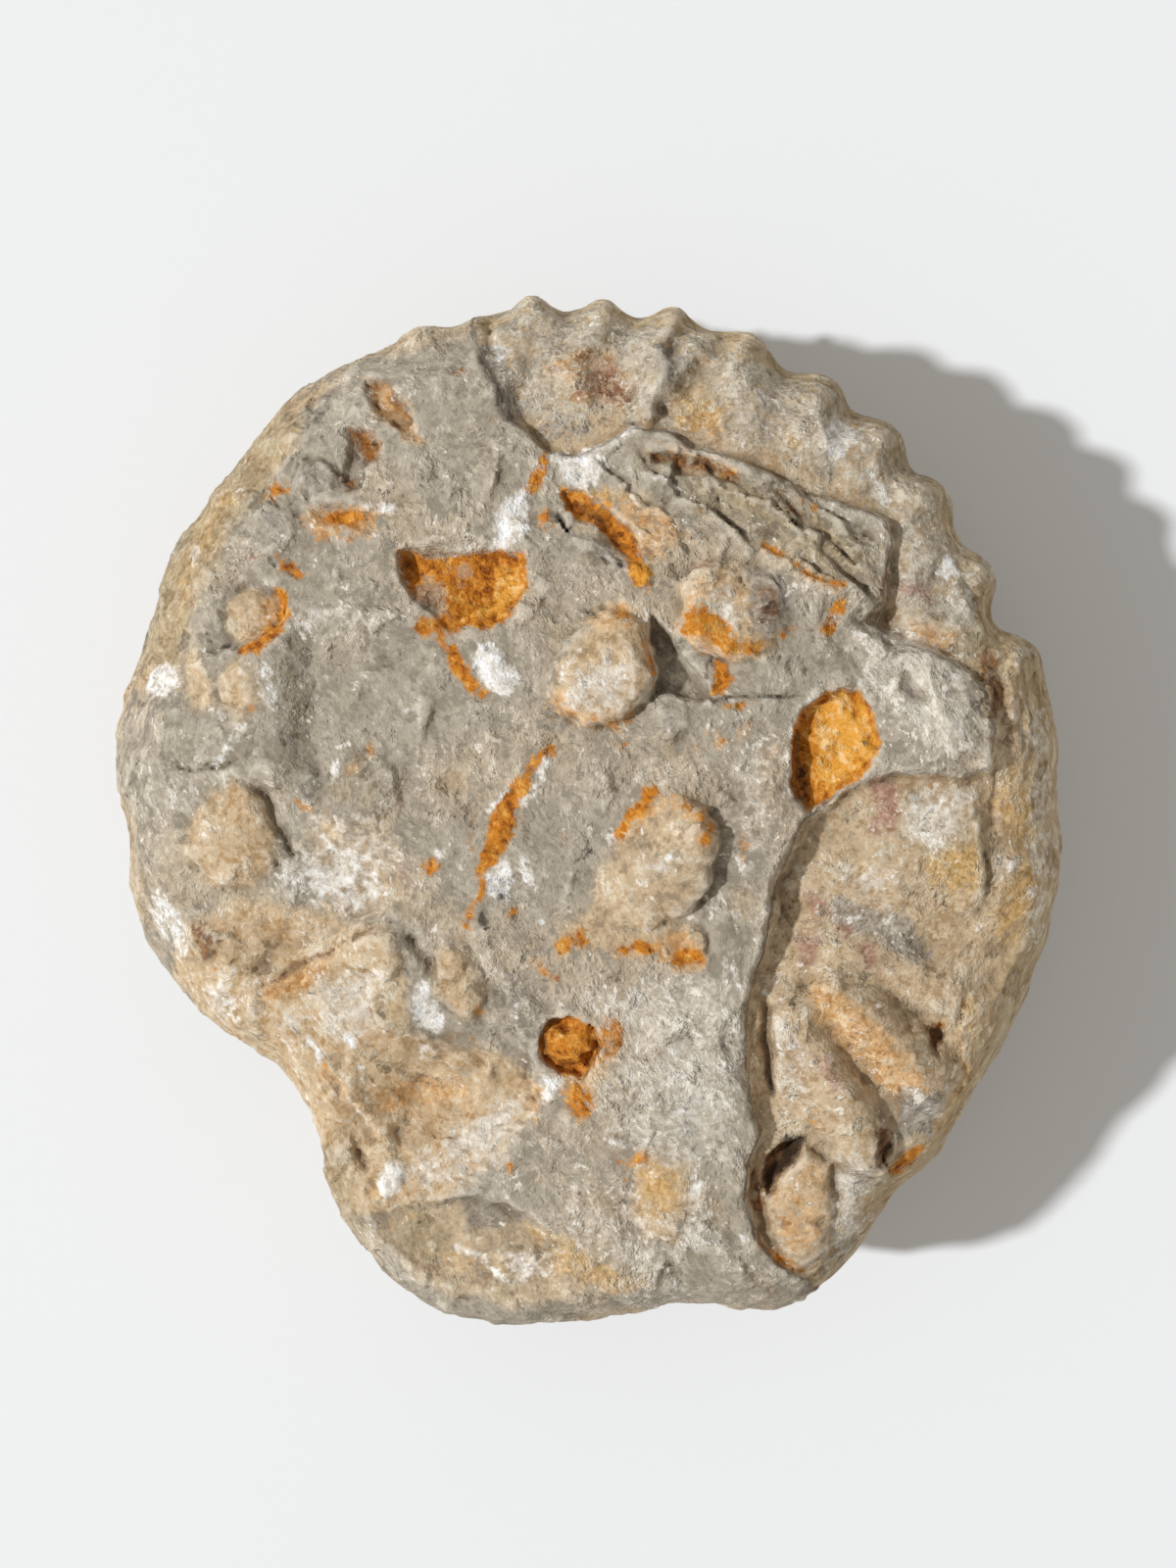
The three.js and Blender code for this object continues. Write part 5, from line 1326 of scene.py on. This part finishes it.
def flow_places(points):
    """Where points lie in a warped space whose second axis runs along the streaks of rock and whorl."""
    warp = np.stack([fractal(points, 11, 81 + k, 2) for k in range(3)], axis=1)
    x, y, z = (points + STREAK_WANDER * warp).T
    c, s = math.cos(STREAK_TURN), math.sin(STREAK_TURN)
    slab = np.stack([x * c + y * s, y * c - x * s, z], axis=1)
    angle, away = coil_angle(x, y)
    whorl = np.stack([away, np.radians(angle) * STREAK_RADIUS, z], axis=1)
    bare = shell_shares(points[:, 0], points[:, 1])[0][:, None] > 0.5
    return np.where(bare, whorl, slab)


def lay_flat(mesh, points, rim):
    """Lays the mesh out flat for a texture: the upper side on a large disc, the lower on a small one."""
    loops = np.empty(len(mesh.loops), np.int32)
    mesh.loops.foreach_get("vertex_index", loops)
    starts, sides = (np.empty(len(mesh.polygons), np.int32) for _ in range(2))
    mesh.polygons.foreach_get("loop_start", starts)
    mesh.polygons.foreach_get("loop_total", sides)
    middles = np.add.reduceat(points[loops, 2], starts) / sides
    upper = np.repeat(middles > WAIST, sides)
    x, y, z = points[loops].T
    wall = smoothstep(rim[loops], 0.4, 1) * np.where(upper, 0.5 * (stone_high[2] - z), 0.9 * z)
    spread = 1 + wall / np.maximum(np.hypot(x, y), 1)
    place = np.stack([x * spread, y * spread], axis=1)
    away = np.hypot(*place.T)
    for side, at, size in ((upper, UPPER_DISC, UPPER_DISC), (~upper, 1 - LOWER_DISC, LOWER_DISC)):
        place[side] = at + place[side] * (size / away[side].max())
    layer = mesh.uv_layers.new(name="OFBake")
    layer.data.foreach_set("uv", place.astype(np.float32).ravel())


def make_stone():
    field, axes = solid_field()
    points, quads = skin(field, axes)
    stone = mesh_object("ammonite", points, quads)
    thin_out(stone)
    mesh = stone.data
    blunt_spikes(mesh)
    mesh.shade_smooth()
    points = vertex_points(mesh)
    for name, values in stain_and_shade_masks(points).items():
        add_mask(mesh, name, values)
    # how far the surface stands out or sinks in: for the pale worn edges, and for the painted shade in
    # the hollows
    add_mask(mesh, "edge", sampled(blurred(field, round(EDGE_REACH / GRID_STEP)), axes, points))
    add_mask(mesh, "broad", 0.5 + 0.18 * fractal(points, 13, 71))
    add_mask(mesh, "middling", 0.5 + 0.18 * fractal(points, 4.2, 72, 4, 0.6))
    add_mask(mesh, "iron", 0.5 + 0.2 * fractal(points, 5, 73))
    flow = flow_places(points).astype(np.float32) * np.float32(MM)
    mesh.attributes.new("flow", "FLOAT_VECTOR", "POINT").data.foreach_set("vector", flow.ravel())
    radius = np.hypot(points[:, 0], points[:, 1])
    turns = np.arctan2(points[:, 1], points[:, 0])
    rim = (radius - round_curve(PLAN_BY_ANGLE, turns)) / round_curve(EDGE_WIDTH, turns) + 1
    add_mask(mesh, "rim", np.clip(rim, 0, 1.5))
    lay_flat(mesh, points, rim)
    return stone


# ---------------------------------------------------------------- the limestone's material

# The dark, middle and light tone of each kind of rock and stain.
TONES = {
    "rock": ("8c8272", "aa9f8e", "c3b9a9"),
    "tan": ("a18159", "c4aa88", "decfb4"),
    "shell": ("9c8160", "c0a98a", "dccdb3"),
    "venter": ("957c56", "bba380", "d6c5a4"),
    "ash": ("8f8676", "b5ab9a", "d5ccbc"),
    "peach": ("a8743a", "cf9f66", "e6c69c"),
    "slate": ("6f665c", "938a7f", "b2a99d"),
    "olive": ("6f5f45", "928160", "b0a07e"),
    "ochre": ("a8803e", "cba162", "e2c594"),
    "pink": ("83584a", "a57868", "c3a08f"),
    "pale": ("b3a797", "d0c6b7", "eae3d8"),
    "iron": ("8a4c12", "b9762b", "d29d5c"),
    "chalk": ("c9bfb2", "ebe6de", "ffffff"),
    "rust": ("7a3f08", "bf761e", "dda352"),
    "amber": ("b56f12", "d99a3c", "efc98f"),
    "brown": ("301a0a", "6a3f1a", "96622e"),
}


def colour(code):
    """Linear colour of an sRGB hex code."""
    channels = [int(code[i : i + 2], 16) / 255 for i in (0, 2, 4)]
    return (*[c / 12.92 if c <= 0.04045 else ((c + 0.055) / 1.055) ** 2.4 for c in channels], 1)


class Graph:
    """Short ways to add nodes to a material."""

    def __init__(self, material):
        material.use_nodes = True
        self.tree = material.node_tree
        self.shader = self.tree.nodes["Principled BSDF"]
        place = self.tree.nodes.new("ShaderNodeTexCoord")
        self.place = place.outputs["Object"]

    def put(self, socket, value):
        """Links a socket to another, or sets its number."""
        if isinstance(value, bpy.types.NodeSocket):
            self.tree.links.new(value, socket)
        else:
            socket.default_value = value

    def math(self, operation, a, b=0.0, c=0.0):
        node = self.tree.nodes.new("ShaderNodeMath")
        node.operation = operation
        for socket, value in zip(node.inputs, (a, b, c)):
            self.put(socket, value)
        return node.outputs[0]

    def times(self, a, b):
        return self.math("MULTIPLY", a, b)

    def mix(self, share, a, b):
        """The colour a, with a share of the colour b over it."""
        node = self.tree.nodes.new("ShaderNodeMix")
        node.data_type = "RGBA"
        self.put(node.inputs[0], share)
        self.put(node.inputs[6], a)
        self.put(node.inputs[7], b)
        return node.outputs[2]

    def attribute(self, name, output="Fac"):
        node = self.tree.nodes.new("ShaderNodeAttribute")
        node.attribute_name = name
        return node.outputs[output]

    def vector(self, operation, *values):
        """The result of an operation on vectors, each a socket or three numbers."""
        node = self.tree.nodes.new("ShaderNodeVectorMath")
        node.operation = operation
        for socket, value in zip(node.inputs, values):
            self.put(socket, value)
        return node.outputs[0]

    def moved(self, place, stretch):
        """A place with its axes stretched."""
        return self.vector("MULTIPLY", place, stretch)

    def noise(self, cell, detail, roughness, place=None):
        """Noise from 0 to 1 with lumps about cell millimetres across."""
        node = self.tree.nodes.new("ShaderNodeTexNoise")
        self.put(node.inputs["Vector"], place or self.place)
        node.inputs["Scale"].default_value = 1 / (cell * MM)
        node.inputs["Detail"].default_value = detail
        node.inputs["Roughness"].default_value = roughness
        return node.outputs[0]

    def flakes(self, cell, place):
        """Flakes about cell millimetres across, each with a colour of its own."""
        node = self.tree.nodes.new("ShaderNodeTexVoronoi")
        self.put(node.inputs["Vector"], place)
        node.inputs["Scale"].default_value = 1 / (cell * MM)
        return node.outputs["Color"]

    def channels(self, value):
        node = self.tree.nodes.new("ShaderNodeSeparateColor")
        self.put(node.inputs[0], value)
        return node.outputs

    def tilted(self, *parts):
        """The surface's normal pushed by (strength, colour) pairs, in which mid grey pushes nowhere."""
        normal = self.tree.nodes.new("ShaderNodeNewGeometry").outputs["Normal"]
        for strength, value in parts:
            pushed = self.vector("MULTIPLY_ADD", value, (strength,) * 3, normal)
            normal = self.vector("SUBTRACT", pushed, (strength / 2,) * 3)
        return self.vector("NORMALIZE", normal)

    def raised(self, height, depth, normal):
        """The normal of a surface raised by height, from 0 to 1, times depth in millimetres."""
        node = self.tree.nodes.new("ShaderNodeBump")
        node.inputs["Distance"].default_value = depth * MM
        self.put(node.inputs["Height"], height)
        self.put(node.inputs["Normal"], normal)
        return node.outputs[0]

    def blend(self, *parts):
        """The weighted sum of (weight, value) pairs."""
        total = 0.0
        for weight, value in parts:
            total = self.math("MULTIPLY_ADD", value, weight, total)
        return total

    def step(self, value, low, high):
        """0 up to low and 1 from high, and smooth between them."""
        node = self.tree.nodes.new("ShaderNodeMapRange")
        node.interpolation_type = "SMOOTHSTEP"
        self.put(node.inputs["Value"], value)
        self.put(node.inputs["From Min"], low)
        self.put(node.inputs["From Max"], high)
        return node.outputs[0]

    def ragged(self, mask, noise, wander, softness):
        """A mask whose edge wanders with the noise."""
        shifted = self.math("MULTIPLY_ADD", self.math("SUBTRACT", noise, 0.5), wander, mask)
        return self.step(shifted, 0.5 - softness, 0.5 + softness)

    def tones(self, noise, kind, spread=0.13):
        """A kind's three tones, which take over from each other as the noise rises."""
        dark, middle, light = (colour(code) for code in TONES[kind])
        low = self.mix(self.step(noise, 0.5 - spread, 0.5), dark, middle)
        return self.mix(self.step(noise, 0.5, 0.5 + spread), low, light)


def limestone():
    material = bpy.data.materials.new("limestone")
    graph = Graph(material)
    blend, mix, step, times = graph.blend, graph.mix, graph.step, graph.times
    flow = graph.attribute("flow", "Vector")
    broad = graph.attribute("broad")
    middling = graph.attribute("middling")
    fine = graph.noise(1.1, 3, 0.68)
    grain = graph.noise(0.45, 1, 0.7)
    chip_colour = graph.flakes(1.9, graph.moved(flow, (1, 0.65, 1)))
    chip, chip_b, _ = graph.channels(chip_colour)
    crumb_colour = graph.flakes(0.65, graph.moved(flow, (1, 0.8, 1)))
    crumb, crumb_b, _ = graph.channels(crumb_colour)
    scratches = graph.noise(0.8, 3, 0.72, graph.moved(flow, (1, 0.55, 1)))
    flecks = ((0.15, chip), (0.13, crumb), (0.14, grain))
    mottle = blend((0.14, middling), (0.2, fine), (0.24, scratches), *flecks)
    speck = blend((0.4, fine), (0.28, grain), (0.14, chip), (0.18, crumb))
    ragged = blend((0.34, middling), (0.4, fine), (0.11, chip_b), (0.15, crumb_b))
    streaks = graph.noise(1.3, 2, 0.65, graph.moved(flow, (1, 0.16, 1)))

    def mask(name, noise, wander, softness):
        return graph.ragged(graph.attribute(name), noise, wander, softness)

    clods = blend((0.3, middling), (0.4, fine), (0.08, chip), (0.08, crumb), (0.14, grain))
    rock = graph.tones(mottle, "rock", 0.12)
    tan = graph.tones(clods, "tan", 0.12)
    shell = graph.tones(clods, "shell", 0.12)
    venter = graph.tones(blend((0.56, streaks), (0.34, fine), (0.1, chip)), "venter", 0.15)

    # limestone washed with tan, the tan flanks, and the bare shell, which is streaky at the rim
    rim = graph.attribute("rim")
    bare = mask("shell", ragged, 0.7, 0.1)
    washes = blend((0.6, broad), (0.4, mottle))
    base = mix(times(step(washes, 0.49, 0.57), 0.4), rock, tan)
    tanned = mask("tan", clods, 1.6, 0.25)
    base = mix(tanned, base, tan)
    base = mix(times(step(rim, 0.5, 1.0), step(washes, 0.45, 0.54)), base, tan)
    base = mix(bare, base, shell)
    at_rim = step(graph.math("ADD", rim, times(middling, 0.3)), 0.55, 0.85)
    base = mix(times(bare, at_rim), base, venter)

    # patches of each kind; some slate patches and one olive patch are painted shade
    for kind, share in (
        ("ash", 0.85),
        ("peach", 0.75),
        ("slate", 0.8),
        ("olive", 0.6),
        ("ochre", 0.7),
        ("pink", 0.75),
        ("pale", 0.8),
    ):
        base = mix(times(mask(kind, ragged, 1.7, 0.2), share), base, graph.tones(speck, kind))

    # wear, tone and painted shade: pale edges, painted shade darkening the hollows, paler and darker
    # lumps, smears and scratches
    edge = graph.attribute("edge")
    lumps = blend((0.6, broad), (0.4, middling))
    smears = blend((0.65, scratches), (0.35, middling), (0.07, graph.attribute("pale")))
    for share, value, low, high, code in (
        (0.35, blend((1, edge), (0.5, fine)), 0.33, 0.6, "e6dccb"),
        (0.55, blend((-1, edge), (0.5, fine)), 0.31, 0.7, "5f4a33"),
        # painted shade: a dark brown laid into the hollows, darker the deeper they sink
        (0.2, lumps, 0.5, 0.64, "d8cbb6"),
        (0.16, lumps, 0.5, 0.36, "6a5f50"),
        (0.7, smears, 0.595, 0.625, "ece5da"),
        (0.22, scratches, 0.36, 0.3, "5c4f40"),
    ):
        base = mix(times(step(value, low, high), share), base, colour(code))
    iron = step(blend((0.6, graph.attribute("iron")), (0.4, ragged)), 0.64, 0.67)
    base = mix(times(iron, 0.7), base, graph.tones(speck, "iron"))

    # chalk, then rust with its halo, which slate thins, then amber, brown and the dark lines; much of the
    # brown and most of the dark lines are painted shade in cracks, holes and at the feet of walls
    chalky = mask("chalk", blend((0.5, ragged), (0.5, scratches)), 2, 0.22)
    base = mix(times(chalky, 0.92), base, graph.tones(speck, "chalk", 0.12))
    rust_halo = times(mask("rust", ragged, 1.2, 0.4), 0.3)
    base = mix(rust_halo, base, colour("b98a52"))
    rust_tone = blend((0.35, middling), (0.35, fine), (0.15, grain), (0.15, crumb))
    unstained = graph.math("SUBTRACT", 1, mask("slate", ragged, 1.6, 0.2))
    rusty = times(mask("rust", ragged, 1.5, 0.16), graph.math("MULTIPLY_ADD", unstained, 0.8, 0.2))
    base = mix(rusty, base, graph.tones(rust_tone, "rust"))
    base = mix(mask("amber", ragged, 1.5, 0.14), base, graph.tones(rust_tone, "amber", 0.16))
    # brown: stains, and painted shade on shaded walls and in hollows
    brown = times(mask("brown", ragged, 1.5, 0.2), 0.85)
    base = mix(brown, base, graph.tones(speck, "brown"))
    # the dark lines: mostly painted shade in cracks, holes and at the feet of steps
    base = mix(times(mask("dark", speck, 0.9, 0.15), 0.85), base, colour("2a2017"))
    graph.put(graph.shader.inputs["Base Color"], base)
    graph.shader.inputs["Roughness"].default_value = 0.9
    graph.shader.inputs["Specular IOR Level"].default_value = 0.3

    # the finest relief: slanting flakes, and ridges that are lower on smooth patches and on tan
    tilts = graph.tilted((0.6, chip_colour), (0.5, crumb_colour))
    folds = graph.noise(1.8, 3, 0.66, graph.moved(flow, (1, 0.7, 1)))
    ridges = graph.math("ABSOLUTE", graph.math("SUBTRACT", folds, 0.5))
    height = blend((0.3, scratches), (0.8, fine), (-1.1, ridges))
    rough = step(blend((0.5, broad), (0.5, middling)), 0.44, 0.56)
    height = times(height, graph.math("MULTIPLY_ADD", rough, 0.7, 0.5))
    height = times(height, graph.math("MULTIPLY_ADD", tanned, -0.4, 1))
    graph.put(graph.shader.inputs["Normal"], graph.raised(height, 0.5, tilts))
    return material


# ---------------------------------------------------------------- stage, light and camera


FLOOR_SIZE = 3  # metres
FLOOR_COLOUR = (0.8, 0.81, 0.825, 1)


def make_stage():
    bpy.ops.mesh.primitive_plane_add(size=FLOOR_SIZE)
    floor = bpy.context.object
    floor.name = "floor"
    material = bpy.data.materials.new("pale_floor")
    material.use_nodes = True
    shader = material.node_tree.nodes["Principled BSDF"]
    shader.inputs["Base Color"].default_value = FLOOR_COLOUR
    shader.inputs["Roughness"].default_value = 0.7
    floor.data.materials.append(material)


SUN_HEIGHT = 46  # degrees over the floor
SUN_FROM = 183  # the direction it shines from, in degrees from +X
SUN_WIDTH = 3  # degrees: the softness of its shadows
SUN_POWER = 2.95
SUN_COLOUR = (0.95, 0.975, 1)
ROOM_POWER = 0.43
ROOM_COLOUR = (1, 0.965, 0.9, 1)


def make_light():
    sun = bpy.data.lights.new("key", "SUN")
    sun.energy = SUN_POWER
    sun.color = SUN_COLOUR
    sun.angle = math.radians(SUN_WIDTH)
    lamp = bpy.data.objects.new("key", sun)
    bpy.context.scene.collection.objects.link(lamp)
    up, around = math.radians(SUN_HEIGHT), math.radians(SUN_FROM)
    source = Vector((math.cos(up) * math.cos(around), math.cos(up) * math.sin(around), math.sin(up)))
    lamp.rotation_euler = source.to_track_quat("Z", "Y").to_euler()
    world = bpy.data.worlds.new("soft_room")
    world.use_nodes = True
    background = world.node_tree.nodes["Background"]
    background.inputs["Color"].default_value = ROOM_COLOUR
    background.inputs["Strength"].default_value = ROOM_POWER
    bpy.context.scene.world = world


CAMERA_HEIGHT = 302
CAMERA_Y = 3.4
CAMERA_LENS = 52
CAMERA_SENSOR = 36
NEAREST_SEEN = 10


def make_camera():
    camera = bpy.data.cameras.new("camera")
    camera.lens = CAMERA_LENS
    camera.sensor_width = CAMERA_SENSOR
    camera.clip_start = NEAREST_SEEN * MM
    eye = bpy.data.objects.new("camera", camera)
    bpy.context.scene.collection.objects.link(eye)
    eye.location = (0, CAMERA_Y * MM, CAMERA_HEIGHT * MM)
    bpy.context.scene.camera = eye


bpy.context.scene.view_settings.view_transform = "Standard"
make_stage()
make_light()
make_camera()
stone = make_stone()
stone.data.materials.append(limestone())
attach(stone, "root")
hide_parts("ammonite_stone")
